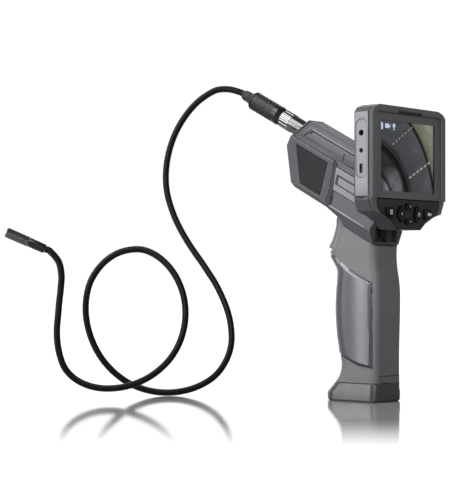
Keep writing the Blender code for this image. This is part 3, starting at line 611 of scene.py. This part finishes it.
def knurl(s, angle, r):
    """Diamond knurling on the straight part of the sleeve."""
    if not KNURL_START < s < KNURL_END or r < SLEEVE_R - 0.3:
        return r
    a, b = angle * KNURL_TEETH / (2 * math.pi), s / 1.8
    ridge = min(abs((a + b) % 1.0 - 0.5), abs((a - b) % 1.0 - 0.5)) * 2.0
    return r - KNURL_DEPTH + KNURL_DEPTH * min(1.0, ridge * 1.6)


sleeve_profile = [
    (74.4, 3.6), (74.4, 5.2), (SLEEVE_START, 5.2), (SLEEVE_START, 6.6), (70.1, 6.9), (73.4, 7.2),
    (74.0, SLEEVE_R), (79.0, SLEEVE_R), (79.1, 7.35), (79.4, 7.35)]
sleeve_profile += [(79.5 + 0.3 * i, SLEEVE_R) for i in range(79)]
sleeve_profile += [
    (103.2, 7.35), (103.5, 7.35), (103.6, SLEEVE_R), (104.4, SLEEVE_R), (SLEEVE_END, 7.0),
    (SLEEVE_END, 3.6)]
lathe("plug_sleeve_knurled", barrel(0, 0, 0), AXIS, sleeve_profile, "anodised", steps=156,
      ripple=knurl, bore=True, node="plug_sleeve", flat=40.0)

NUT_R, NUT_GRIP, NUT_FLUTES = 7.5, (59.0, 68.6), 18


def flutes(s, angle, r):
    """Grip flutes on the wide part of the coupling nut."""
    if r > 7.2 and NUT_GRIP[0] < s < NUT_GRIP[1]:
        wave = math.cos(angle * NUT_FLUTES)
        return r - 0.30 * max(0.0, -wave) ** 0.5
    return r


nut_profile = [(58.2, 5.2), (58.2, 6.3), (44.4, 6.3), (44.4, 6.8), (44.8, 7.0)]
for i in range(11):                            # thread rings on the narrow part
    s = 45.4 + 1.1 * i
    nut_profile += [(s, 7.0), (s + 0.3, 6.72), (s + 0.5, 6.72), (s + 0.8, 7.0)]
nut_profile += [(58.0, 7.0), (58.6, NUT_R), (NUT_GRIP[0], NUT_R)]
nut_profile += [(59.1 + 0.45 * i, NUT_R) for i in range(22)]
nut_profile += [(68.8, NUT_R), (69.4, 7.0), (69.4, 5.2)]
lathe("coupling_nut_fluted", barrel(0, 0, 0), AXIS, nut_profile, "chrome", steps=180,
      ripple=flutes, bore=True, node="coupling_nut", flat=30.0)
skin("socket_nut", "chrome", 0.35)
skin("panel_socket", "chrome", 0.2)
skin("plug_core", "black", 0.2)

# ------------------------------------------------------------------ barrel
UP_FROM_AXIS = Vector((0.0, -math.sin(TILT), math.cos(TILT)))
SIDES = (("left", -1), ("right", 1))
WALL_X = 21.6                                  # the flat side of the barrel
FACET_X, FACET_N = 9.0, 11.8                   # the top edge of its sloping facet
FACET_COS, FACET_SIN = 0.7016, 0.7126          # the facet's slope
CHANNEL_FRONT, CHANNEL_REAR = 28.6, -40.0
SHADE_INLAY_THICKNESS = 0.45                                  # thickness of a dark inlay, painted shade that shows as a groove
FACET_SHADE_INLAYS = (                              # dark inlays painting the shade of slits and of the channel: name, height over the facet, outline as (along, down)
    ("slit_upper_shade", -0.70, [(-10.0, 9.6), (-11.1, 9.6), (-14.2, 14.1), (-13.1, 14.1)]),
    ("slit_lower_shade", 0.05, [(-13.2, 14.3), (-14.3, 14.3), (-15.6, 16.2), (-14.5, 16.2)]),
    ("channel_shadow", -0.30, [(28.3, 6.3), (28.3, 6.9), (CHANNEL_REAR, 6.9), (CHANNEL_REAR, 6.3)]),
    ("channel_end_shade", -0.30, [(28.3, 6.9), (28.3, 10.4), (27.3, 9.6), (27.3, 6.9)]))
# the channel's raised lip, in pale plastic that paints the highlight along its upper edge
CHANNEL_LIP = ((5.3, -0.3), (5.3, 0.02), (5.5, 0.16), (6.0, 0.16), (6.2, 0.02), (6.2, -0.3))
# a dark strip painting the shade of a groove low on the barrel's side
LOW_GROOVE_SHADE = [(-20.1, -27.4), (-21.0, -27.4), (-22.2, -35.2), (-21.3, -35.2)]
COWL_EDGE = ((21.4, -0.3), (COWL_SIDE, -0.3), (COWL_SIDE - 0.2, 0.4), (21.9, 3.6), (21.4, 3.6))
SLOT = [(-16.8, -10.9), (-18.2, -18.3), (-50.0, -18.3), (-46.0, -10.9)]
SLOT_BAR = [(-19.0, -11.9), (-20.2, -17.3), (-49.2, -17.3), (-46.0, -11.9)]
COLLAR_TOP, COLLAR_FRONT = 146.0, -14.0        # the collar behind the grip, under the monitor, whose rear faces get a darker look as painted shade


def on_facet(sign, t, down, out):
    """A point on the upper sloping facet, down from its top edge and out from its surface."""
    return barrel(sign * (FACET_X + FACET_COS * down + FACET_SIN * out), t,
                  FACET_N - FACET_SIN * down + FACET_COS * out)


def in_channel(point):
    """Whether an edge belongs to the shallow channel along the upper facet, and stays crisp."""
    x = abs(point.x) / MM
    n = (point - world(*barrel(0, 0, 0))).dot(UP_FROM_AXIS) / MM
    return 12.4 < x < 19.4 and x + n > 19.2


def is_shaded_collar(face):
    low = face.center.z < COLLAR_TOP * MM
    return low and face.center.y < world(0, COLLAR_FRONT, 0).y and face.normal.y < -0.5


def shell_trim(side, sign):
    """Dark inlays painting the shade of the grooves and of a low groove, and the channel's lip in pale
    plastic painting its highlight, on one half of the barrel.
    """
    on_shell = {"body": "handle", "slot": "barrel_shell_" + side}
    # Dark inlays paint the shade of the slits and of the channel.
    for name, height, outline in FACET_SHADE_INLAYS:
        rows = [[on_facet(sign, t, down, out) for t, down in outline] for out in (height - SHADE_INLAY_THICKNESS, height)]
        loft("%s_%s" % (name, side), rows, "label", **on_shell)
    # The lip, in pale plastic, paints the highlight along the channel's upper edge.
    rows = [[on_facet(sign, t, down, out) for down, out in CHANNEL_LIP]
            for t in (CHANNEL_FRONT, CHANNEL_REAR)]
    loft("channel_lip_highlight_" + side, rows, "side", flat=60.0, **on_shell)
    # A dark strip paints the shade of the low groove.
    slab("low_groove_shade_" + side, LOW_GROOVE_SHADE, sign * 21.5, sign * 22.0, side_of_barrel, "label", **on_shell)


def cowl_edge(side, sign):
    """The cowl's bevelled rear edge, which follows its bend."""
    rows = [[barrel(sign * x, t - back, n) for x, back in COWL_EDGE]
            for t, n in ((-17.2, -37.0), (-16.0, -24.0), (-9.4, -3.0))]
    loft("cowl_edge_" + side, rows, "body", body="handle", slot="nose_cowl", flat=60.0)


def side_panel(side, sign):
    """The side panel, with a bar in the middle of a slot whose shade is painted on a dark sheet."""
    on_panel = {"body": "handle", "slot": "side_panel_" + side}
    slab("slot_shadow_" + side, SLOT, sign * WALL_X, sign * 21.8, side_of_barrel, "dark", **on_panel)
    skin("side_panel_" + side, "panel", 0.3, 2)
    bar = slab("side_bar_" + side, SLOT_BAR, sign * WALL_X, sign * 22.35, side_of_barrel, "panel", **on_panel)
    soften(bar, 0.3)


def ridge(side, sign):
    """A half-round ridge along the barrel's lower edge, with tapered ends, in pale plastic that paints the
    highlight along that edge.
    """
    rows = []
    for t, size in ((-20.0, 0.35), (-20.8, 1.0), (-58.4, 1.0), (-59.2, 0.35)):
        angles = [math.pi * k / 5 - math.pi / 2 for k in range(6)]
        rows.append([barrel(sign * (WALL_X + 0.95 * size * math.cos(a)), t, -35.6 + 0.85 * size * math.sin(a))
                     for a in angles])
    loft("ridge_highlight_" + side, rows, "side", body="handle", slot="barrel_shell_" + side, flat=60.0)


for side, sign in SIDES:
    shell = skin("barrel_shell_" + side, "body", 0.3, 2, shortest=0.3, skip=in_channel)
    # The collar's rear faces, under the monitor, take the darker shell look: painted shade.
    second_look(shell, "shell", is_shaded_collar)
    shell_trim(side, sign)
    cowl_edge(side, sign)
    side_panel(side, sign)
    skin("label_plate_" + side, "label", 0.15, 2)
    ridge(side, sign)
skin("nose_cowl", "cowl", 0.55, 3, shortest=0.3)
skin("dock_rail", "dark", 0.3)
skin("dock_latch", "dark", 0.5)
for node, look in (("main_board", "board"), ("trigger_switch", "black"), ("trigger_pin", "steel"),
                   ("trigger_spring", "steel"), ("battery_cage", "dark")):
    dress(node, look)
for i in range(4):
    skin("battery_cell_%d" % (i + 1), "cell", 0.15)

SCREWS = {  # y, z and the x of the head's face
    "barrel_screw_1": (7.6, 150.4, 21.8), "barrel_screw_2": (-4.6, 147.6, 21.8),
    "grip_screw_1": (3.0, 111.5, 16.9), "grip_screw_2": (-10.5, 101.0, 16.9)}
for node, (y, z, outer) in SCREWS.items():      # a cross recess in each head
    cross = slab("cross", rectangle(y - 1.6, y + 1.6, z - 0.35, z + 0.35), outer - 1.2, outer + 1, along_x)
    arm = slab("arm", rectangle(y - 0.35, y + 0.35, z - 1.6, z + 1.6), outer - 1.21, outer + 1, along_x)
    skin(node, "steel", 0.06, 1, [(carve(cross, arm, "UNION"), "DIFFERENCE")])

# ------------------------------------------------------------------ grip
GRIP_SECTIONS = [  # height, rear y, front y, half width
    (14.8, -20.5, 24.6, 17.3), (19.0, -20.5, 21.4, 17.4), (25.0, -20.3, 19.0, 17.5),
    (31.0, -20.3, 18.9, 17.5), (40.0, -20.4, 20.6, 17.5), (53.0, -20.7, 22.8, 17.5),
    (71.0, -21.2, 24.1, 17.5), (86.0, -21.2, 23.6, 17.4), (95.0, -20.4, 22.8, 17.2),
    (102.6, -19.2, 22.9, 17.0), (109.0, -18.5, 26.6, 16.9), (115.0, -18.3, 30.2, 16.9),
    (119.0, -18.5, 28.6, 17.0), (126.0, -19.0, 24.6, 17.0), (134.0, -19.5, 22.0, 17.0),
    (150.0, -19.5, 20.5, 17.0),
]
GRIP_LOW, GRIP_TOP = GRIP_SECTIONS[0][0], GRIP_SECTIONS[-1][0]
PAST = 40                                      # cutters reach this far, past the grip
PAD_OUTLINE = [
    (-16.4, 92.2), (5.8, 102.8), (12.2, 107.6), (19.0, 112.6), (24.0, 114.8), (PAST, 115.4),
    (PAST, 41.0), (12.0, 34.8), (-3.0, 28.6), (-16.4, 26.4)]
PAD_WINDOW = [                                 # the recess for the pad, about 0.3 mm larger
    (-16.7, 92.4), (5.65, 103.1), (12.0, 107.9), (18.85, 112.9), (23.9, 115.1), (PAST, 115.7),
    (PAST, 40.7), (12.1, 34.5), (-2.95, 28.3), (-16.7, 26.1)]
TRIGGER_SLOT = [(9.8, 117.8), (60, 117.8), (60, 141), (23.4, 147), (23.4, 158.6), (9.8, 158.6)]
REAR_CORNER, FRONT_CORNER = 6.0, 12.0


def grip_section(z):
    """Rear y, front y and half width at a height, on a smooth curve through the sections."""
    def at(i):
        return GRIP_SECTIONS[min(max(i, 0), len(GRIP_SECTIONS) - 1)]

    z = min(max(z, GRIP_LOW), GRIP_TOP)
    k = max(i for i, section in enumerate(GRIP_SECTIONS[:-1]) if section[0] <= z)
    p0, p1, p2, p3 = at(k - 1), at(k), at(k + 1), at(k + 2)
    rise = p2[0] - p1[0]
    u = (z - p1[0]) / rise
    out = []
    for c in (1, 2, 3):
        m1 = (p2[c] - p0[c]) / max(p2[0] - p0[0], 1e-6) * rise
        m2 = (p3[c] - p1[c]) / max(p3[0] - p1[0], 1e-6) * rise
        out.append((2 * u ** 3 - 3 * u * u + 1) * p1[c] + (u ** 3 - 2 * u * u + u) * m1
                   + (-2 * u ** 3 + 3 * u * u) * p2[c] + (u ** 3 - u * u) * m2)
    return out


def grip_ring(z, inset, side=12):
    """A dense rounded rectangle at a height, inset from the grip's surface, with side quads along it."""
    rear, front, half = grip_section(z)
    x0, x1, y0, y1 = -half + inset, half - inset, rear + inset, front - inset
    low, high = REAR_CORNER - inset * 0.8, FRONT_CORNER - inset * 0.9
    corners = [arc(x1 - low, y0 + low, low, -90, 8), arc(x1 - high, y1 - high, high, 0, 8),
               arc(x0 + high, y1 - high, high, 90, 8), arc(x0 + low, y0 + low, low, 180, 8)]
    points = []
    for c, corner in enumerate(corners):
        points += corner
        (xa, ya), (xb, yb) = corner[-1], corners[(c + 1) % 4][0]
        steps = (side, 4, side, 8)[c]
        points += [(xa * (1 - i / steps) + xb * i / steps, ya * (1 - i / steps) + yb * i / steps)
                   for i in range(1, steps)]
    return points


def pad_depth(y, z):
    """Distance inside the pad outline in the side view; negative outside it."""
    best, inside = 99.0, False
    for (y0, z0), (y1, z1) in zip(PAD_OUTLINE, PAD_OUTLINE[1:] + PAD_OUTLINE[:1]):
        if (z0 > z) != (z1 > z) and y < y0 + (z - z0) / (z1 - z0) * (y1 - y0):
            inside = not inside
        if y0 == y1 == PAST:                   # the outline is open past the front
            continue
        u = max(0.0, min(1.0, ((y - y0) * (y1 - y0) + (z - z0) * (z1 - z0))
                         / ((y1 - y0) ** 2 + (z1 - z0) ** 2)))
        best = min(best, math.hypot(y - y0 - u * (y1 - y0), z - z0 - u * (z1 - z0)))
    return best if inside else -best


def smoothstep(u):
    u = min(max(u, 0.0), 1.0)
    return u * u * (3 - 2 * u)


def grip_solid(name, inset, levels, swell=None, side=12):
    """Rows round the grip; swell(y, z) moves a point out along the ring's outward direction."""
    rows = []
    for z in levels:
        ring = grip_ring(z, inset, side=side)
        row = []
        for i, (x, y) in enumerate(ring):
            grow = swell(y, z) if swell else 0.0
            (xa, ya), (xb, yb) = ring[i - 1], ring[(i + 1) % len(ring)]
            tx, ty = xb - xa, yb - ya
            long = math.hypot(tx, ty) or 1.0
            row.append((x + ty / long * grow, y - tx / long * grow, z))
        rows.append(row)
    return loft(name, rows)


def levels(low, high, step):
    count = int(round((high - low) / step))
    return [low + (high - low) * i / count for i in range(count + 1)]


def seam(y):
    """Height of the seam between the handle and the barrel at a given y."""
    return AXIS_Z + (-45.0 + (y - AXIS_Y) * math.sin(TILT)) / math.cos(TILT)


def past_ends(step):
    """Levels that run past both ends of the grip, for a cutter."""
    return [0.0] + levels(GRIP_LOW, GRIP_TOP, step) + [160.0]


def grip_top_cut():
    """What the barrel's seam leaves of the grip, in the side view."""
    rear_y, seam_y = -19.5, 10.4
    rear_z = seam(rear_y) - 0.35
    return slab("side_cut", [
        (-PAST, 10), (PAST, 10), (PAST, 150), (19.5, seam(seam_y) + 9.6), (seam_y, seam(seam_y) - 0.3),
        (rear_y, rear_z), (-PAST, rear_z)], -PAST, PAST, along_x)


def pad_recess():
    """The shallow recess that the soft pad sits in."""
    recess = grip_solid("recess", -3.0, levels(GRIP_LOW, GRIP_TOP, 5.0))
    carve(recess, grip_solid("core", 1.5, past_ends(5.0)))
    return carve(recess, slab("window", PAD_WINDOW, -PAST, PAST, along_x), "INTERSECT")


def hollow_grip():
    """Both halves of the grip in one, with its openings, rails and screw recesses."""
    grip = grip_solid("grip", 0.0, levels(GRIP_LOW, GRIP_TOP, 1.7))
    carve(grip, grip_top_cut(), "INTERSECT")
    carve(grip, grip_solid("inner", 2.7, past_ends(6.0)))
    carve(grip, pad_recess())
    carve(grip, slab("slot", TRIGGER_SLOT, -7.4, 7.4, along_x))
    carve(grip, slab("doorway", rectangle(-13.3, 13.3, -40, -12), 10, 20.4, along_z))
    for x0, x1 in ((-15.6, -12.4), (12.4, 15.6)):
        carve(grip, slab("rail", rectangle(x0, x1, -17.0, 12.0), 15.2, 17.4, along_z), "UNION")
    for node in ("grip_screw_1", "grip_screw_2"):
        y, z, outer = SCREWS[node]
        carve(grip, slab("sink", circle(y, z, 3.1), outer - 2.0, outer + 5, along_x))
    return grip


grip = hollow_grip()
for side, (x0, x1) in (("left", (-60, -0.12)), ("right", (0.12, 60))):
    half = bpy.data.objects.new("grip_%s" % side, grip.data.copy())
    bpy.context.scene.collection.objects.link(half)
    carve(half, slab("half", rectangle(x0, x1, -60, 60), -10, 200, along_z), "INTERSECT")
    finish_piece(half, "handle", "grip_shell_" + side, flat=30.0)
bpy.data.objects.remove(grip, do_unlink=True)


PAD_CROWN, PAD_CROWN_Y, PAD_SHOULDER = 1.5, -6.5, 1.8


def pad_swell(y, z):
    """A rounded shoulder round the outline, then a slow crown across the palm side."""
    crown = PAD_CROWN * max(0.0, 1.0 - ((y - PAD_CROWN_Y) / 22.0) ** 2) ** 2
    return -0.8 + (1.35 + crown) * smoothstep(pad_depth(y, z) / PAD_SHOULDER)


pad = grip_solid("grip_pad_moulded", 0.0, levels(20.0, 118.0, 0.8), pad_swell, 30)
carve(pad, slab("outline", PAD_OUTLINE, -PAST, PAST, along_x), "INTERSECT")
carve(pad, grip_solid("pad_inner", 1.2, past_ends(5.0)))
finish_piece(pad, "pad", "grip_pad", flat=45.0)

foot_cap = skin("foot_cap", "foot", 0.7, 3)
second_look(foot_cap, "handle", lambda face: face.center.z > 14.9 * MM)    # its lip matches the handle
skin("trigger", "handle", 0.9, 3)

# ------------------------------------------------------------------ monitor housing
BAND_FACE = 48.65                              # x of the pale bands' inner faces
VENT_HEIGHTS = (196.0, 199.5, 203.0, 206.5, 210.0)
band_seat = rectangle(-35.5, -23.4, 157.4, 220.6)
back_cuts = [(slab("band_seat_%d" % sign, band_seat, sign * 48.6, sign * 60, along_x), "DIFFERENCE")
             for side, sign in SIDES]
back_cuts += [(slab("vent", rectangle(-30.0, -14.0, z, z + 1.4), -23.4, -20.0, along_y), "DIFFERENCE")
              for z in VENT_HEIGHTS]
skin("monitor_back", "shell", 0.5, 3, back_cuts, shortest=0.25)
for side, sign in SIDES:
    outline = rectangle(-35.42, -23.5, 157.45, 220.5)
    band = slab("side_band_" + side, outline, sign * BAND_FACE, sign * (BAND_FACE + 0.5), along_x)
    if side == "left":
        carve(band, slab("port_hole", stadium(-34.2, -24.2, 171.0, 215.2, 4.9), -60, -40, along_x))
    soften(band, 0.2)
    finish_piece(band, "side", body="monitor")
skin("port_plate", "side", 0.12, 2, shortest=0.25)
notch = slab("notch", rectangle(-16.0, 16.8, 221.2, 223.4), -38.9, -50, along_y)
bezel = skin("monitor_bezel", "bezel", 0.45, 2, [(notch, "DIFFERENCE")], shortest=0.5)
second_look(bezel, "shell", lambda face: face.normal.y > -0.5)             # its sides match the back
skin("keypad_panel", "dark", 0.15, 2, shortest=0.25)
# Dark sheets paint the shade in the notch and in the groove under the top rim.
for name, outline, low, high, look in (
        ("notch_shade_liner", rectangle(-15.9, 16.7, 221.3, 223.3), -38.7, -38.98, "dark"),
        ("rim_shadow", rectangle(-41.0, 42.0, 220.5, 221.2), -38.3, -38.46, "dark"),
        # A pale strip paints a highlight along a groove near the bezel's right edge.
        ("groove_highlight_strip", rectangle(43.2, 43.9, 158.5, 219.0), -39.9, -40.14, "side")):
    slab(name, outline, low, high, along_y, look, body="monitor", slot="monitor_bezel")
for node, look, width in (("av_jack", "black", 0.2), ("power_jack", "black", 0.2),
                          ("usb_port", "steel", 0.15)):
    skin(node, look, width)
PORT_Y = -29.0
for name, z, r in (("av_ring", 204.8, 2.3), ("power_ring", 191.6, 1.8)):
    profile = [(0, r - 0.02), (0.15, r), (0.32, r - 0.1), (0.32, r - 0.35), (0.0, r - 0.45)]
    lathe(name, (-48.6, PORT_Y, z), (-1, 0, 0), profile, "black", steps=32, bore=True, body="monitor",
          slot="port_plate")
lathe("power_pin", (-46.5, PORT_Y, 191.6), (-1, 0, 0), [(-4.0, 0.45), (0.0, 0.45), (0.3, 0.3)], "steel",
      steps=16, body="monitor", slot="power_jack")
slab("usb_tongue", rectangle(PORT_Y - 0.6, PORT_Y + 0.6, 176.2, 180.2), -46.9, -41.5, along_x, "black",
     body="monitor", slot="usb_port")
for node, look in (("keypad_mat", "pad"), ("monitor_board", "board"), ("monitor_battery", "cell")):
    dress(node, look)

# ------------------------------------------------------------------ keys and their marks
MARK_Y = BUTTON_FACE - 0.06
MARK_ROOT = BUTTON_FACE + 0.1


def mark(name, outline, key):
    """A thin printed shape on a key's face."""
    button = "button_" + key
    slab("mark_" + name, outline, MARK_ROOT, MARK_Y, along_y, "mark", body=button, slot=button)


for key in ("menu", "record", "up", "down", "left", "right"):
    skin("button_" + key, "key", 0.45, 3)
for i in range(3):
    for j in range(3):
        x, z = -27.1 + 1.25 * i, 144.2 + 1.25 * j
        mark("menu_%d%d" % (i, j), rectangle(x, x + 0.9, z, z + 0.9), "menu")
mark("record_body", stadium(23.4, 27.0, 144.2, 146.6, 0.5, 3), "record")
mark("record_eye", [(27.3, 145.0), (28.6, 144.2), (28.6, 146.6), (27.3, 145.8)], "record")
mark("up", [(-0.9, 150.3), (0.9, 150.3), (0.0, 151.7)], "up")
mark("down", [(-0.9, 139.7), (0.0, 138.3), (0.9, 139.7)], "down")
mark("left", [(-12.4, 144.9), (-10.8, 143.9), (-10.8, 145.9)], "left")
ring_out, ring_in = circle(11.6, 144.9, 1.5), circle(11.6, 144.9, 0.95)
loops = ((ring_out, MARK_ROOT), (ring_out, MARK_Y), (ring_in, MARK_Y), (ring_in, MARK_ROOT),
         (ring_out, MARK_ROOT))
verts, faces = grid([[along_y(a, b, c) for a, b in ring] for ring, c in loops], caps=False)
piece("mark_ring", verts, faces, "mark", body="button_right", slot="button_right")

# ------------------------------------------------------------------ screen
skin("lcd_panel", "lcd", 0.2)
skin("screen_glass", "glass", 0.3)
PICTURE_Y, ICON_Y = -35.58, -35.66


def glow(name, outline, look="icon"):
    slab(name, outline, PICTURE_Y, ICON_Y, along_y, look, body="monitor", slot="lcd_panel")


glow("icon_battery", stadium(-33.8, -30.4, 208.2, 213.0, 0.4, 2))
glow("icon_tip", rectangle(-32.9, -31.3, 213.0, 213.7))
glow("icon_frame", stadium(-27.6, -22.6, 209.6, 213.0, 0.5, 2))
glow("icon_frame_eye", [(-22.2, 211.0), (-20.8, 209.9), (-20.8, 212.7), (-22.2, 211.6)])
glow("icon_lamp", circle(-16.0, 211.8, 1.7, 16))
glow("icon_lamp_base", rectangle(-16.7, -15.3, 208.6, 209.8))
for i in range(6):
    x, z = 4.6 + 5.0 * i, 172.4 + 2.4 * i
    glow("dash_%d" % i, [(x, z), (x + 3.0, z + 1.45), (x + 2.5, z + 2.75), (x - 0.5, z + 1.3)], "dash")
for i in range(7):
    x, z = -17.5 + 4.0 * i, 197.2 + 2.3 * i
    glow("tick_%d" % i, [(x, z), (x + 1.9, z + 1.1), (x + 1.5, z + 1.7), (x - 0.4, z + 0.6)], "dash")

# ------------------------------------------------------------------ the cord's pieces ride on the handle
for ob in (strain_relief, head_ferrule, camera_head, led_ring, lens, *leds):
    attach(ob, "handle")

# ------------------------------------------------------------------ stage
TO_CAMERA = (-0.755, -0.656, 0.0)              # across the floor from the object to the camera
TO_BACKDROP = tuple(-c for c in TO_CAMERA)
FLOOR_HALF = 30.0                              # metres
DARK_FLOOR_CENTRE = (-0.15, -0.02, 0.0)            # the floor is darkest, with painted shade about the object, and clearest round this point
ROOM, BACKDROP, FILL = 0.20, 1.50, 0.38        # what gloss sees around and behind, and the soft fill
SEEN = 1.03                                    # the backdrop as the camera sees it


def floor_finish():
    """Polished and darker under the object, a painted shade about it, paler further away, and matte towards
    the camera.
    """
    look = Look("floor_white", (0.30, 0.30, 0.30), 0.08, IOR=2.0)
    distance = look.vector("DISTANCE", look.coord, DARK_FLOOR_CENTRE)
    look.feed("Base Color", look.span(distance, (0.26, 0.50), (0.30, 0.72)))
    matte = look.put("BsdfDiffuse", [("Color", (0.80, 0.80, 0.80, 1.0))])
    nearer = look.vector("DOT_PRODUCT", look.coord, TO_CAMERA)
    fade = look.span(nearer, (0.19, 0.42), (0.0, 1.0), "SMOOTHSTEP")
    both = look.put("MixShader", [(0, fade), (1, look.bsdf.outputs[0]), (2, matte.outputs[0])])
    look.links.new(both.outputs[0], look.nodes["Material Output"].inputs["Surface"])
    return look.mat


floor = bpy.data.objects.new("floor", bpy.data.meshes.new("floor"))
corners = [(x * FLOOR_HALF, y * FLOOR_HALF, 0) for x, y in ((-1, -1), (1, -1), (1, 1), (-1, 1))]
floor.data.from_pydata(corners, [], [(0, 1, 2, 3)])
bpy.context.scene.collection.objects.link(floor)
floor.data.materials.append(floor_finish())


def light_the_air(world_data):
    """A white backdrop behind the object, and a darker room on the other sides for gloss to pick up."""
    world_data.use_nodes = True
    air = Graph(world_data.node_tree)
    facing = air.vector("DOT_PRODUCT", air.put("TexCoord").outputs["Generated"], TO_BACKDROP)
    room = air.span(facing, (0.45, 0.9), (ROOM, BACKDROP), "SMOOTHSTEP")
    ray = air.put("LightPath").outputs
    seen = air.math("MULTIPLY", ray["Is Camera Ray"], SEEN)
    fill = air.math("MULTIPLY", ray["Is Diffuse Ray"], FILL)
    direct = air.math("ADD", ray["Is Camera Ray"], ray["Is Diffuse Ray"])
    gloss = air.math("MULTIPLY", air.math("SUBTRACT", 1.0, direct), room)
    background = air.nodes["Background"]
    background.inputs["Color"].default_value = (1.0, 1.0, 1.0, 1.0)
    air.links.new(air.math("ADD", air.math("ADD", seen, fill), gloss), background.inputs["Strength"])


studio = bpy.data.worlds.new("studio")
bpy.context.scene.world = studio
light_the_air(studio)

AIM = Vector((-0.02, 0.0, 0.12))               # what the softboxes point at, in metres


def softbox(name, place, wide, high, watts):
    light = bpy.data.lights.new(name, "AREA")
    light.shape, light.size, light.size_y, light.energy = "RECTANGLE", wide, high, watts
    lamp = bpy.data.objects.new(name, light)
    lamp.location = place
    lamp.rotation_euler = (AIM - Vector(place)).to_track_quat("-Z", "Y").to_euler()
    bpy.context.scene.collection.objects.link(lamp)


softbox("strip", (-1.27, 0.83, 0.48), 0.36, 0.90, 8.8)
softbox("front", (-1.20, -1.00, 0.42), 0.26, 0.40, 3.8)
softbox("top", (-1.00, 0.20, 1.50), 1.10, 1.10, 33.0)
bpy.context.scene.view_settings.view_transform = "Standard"
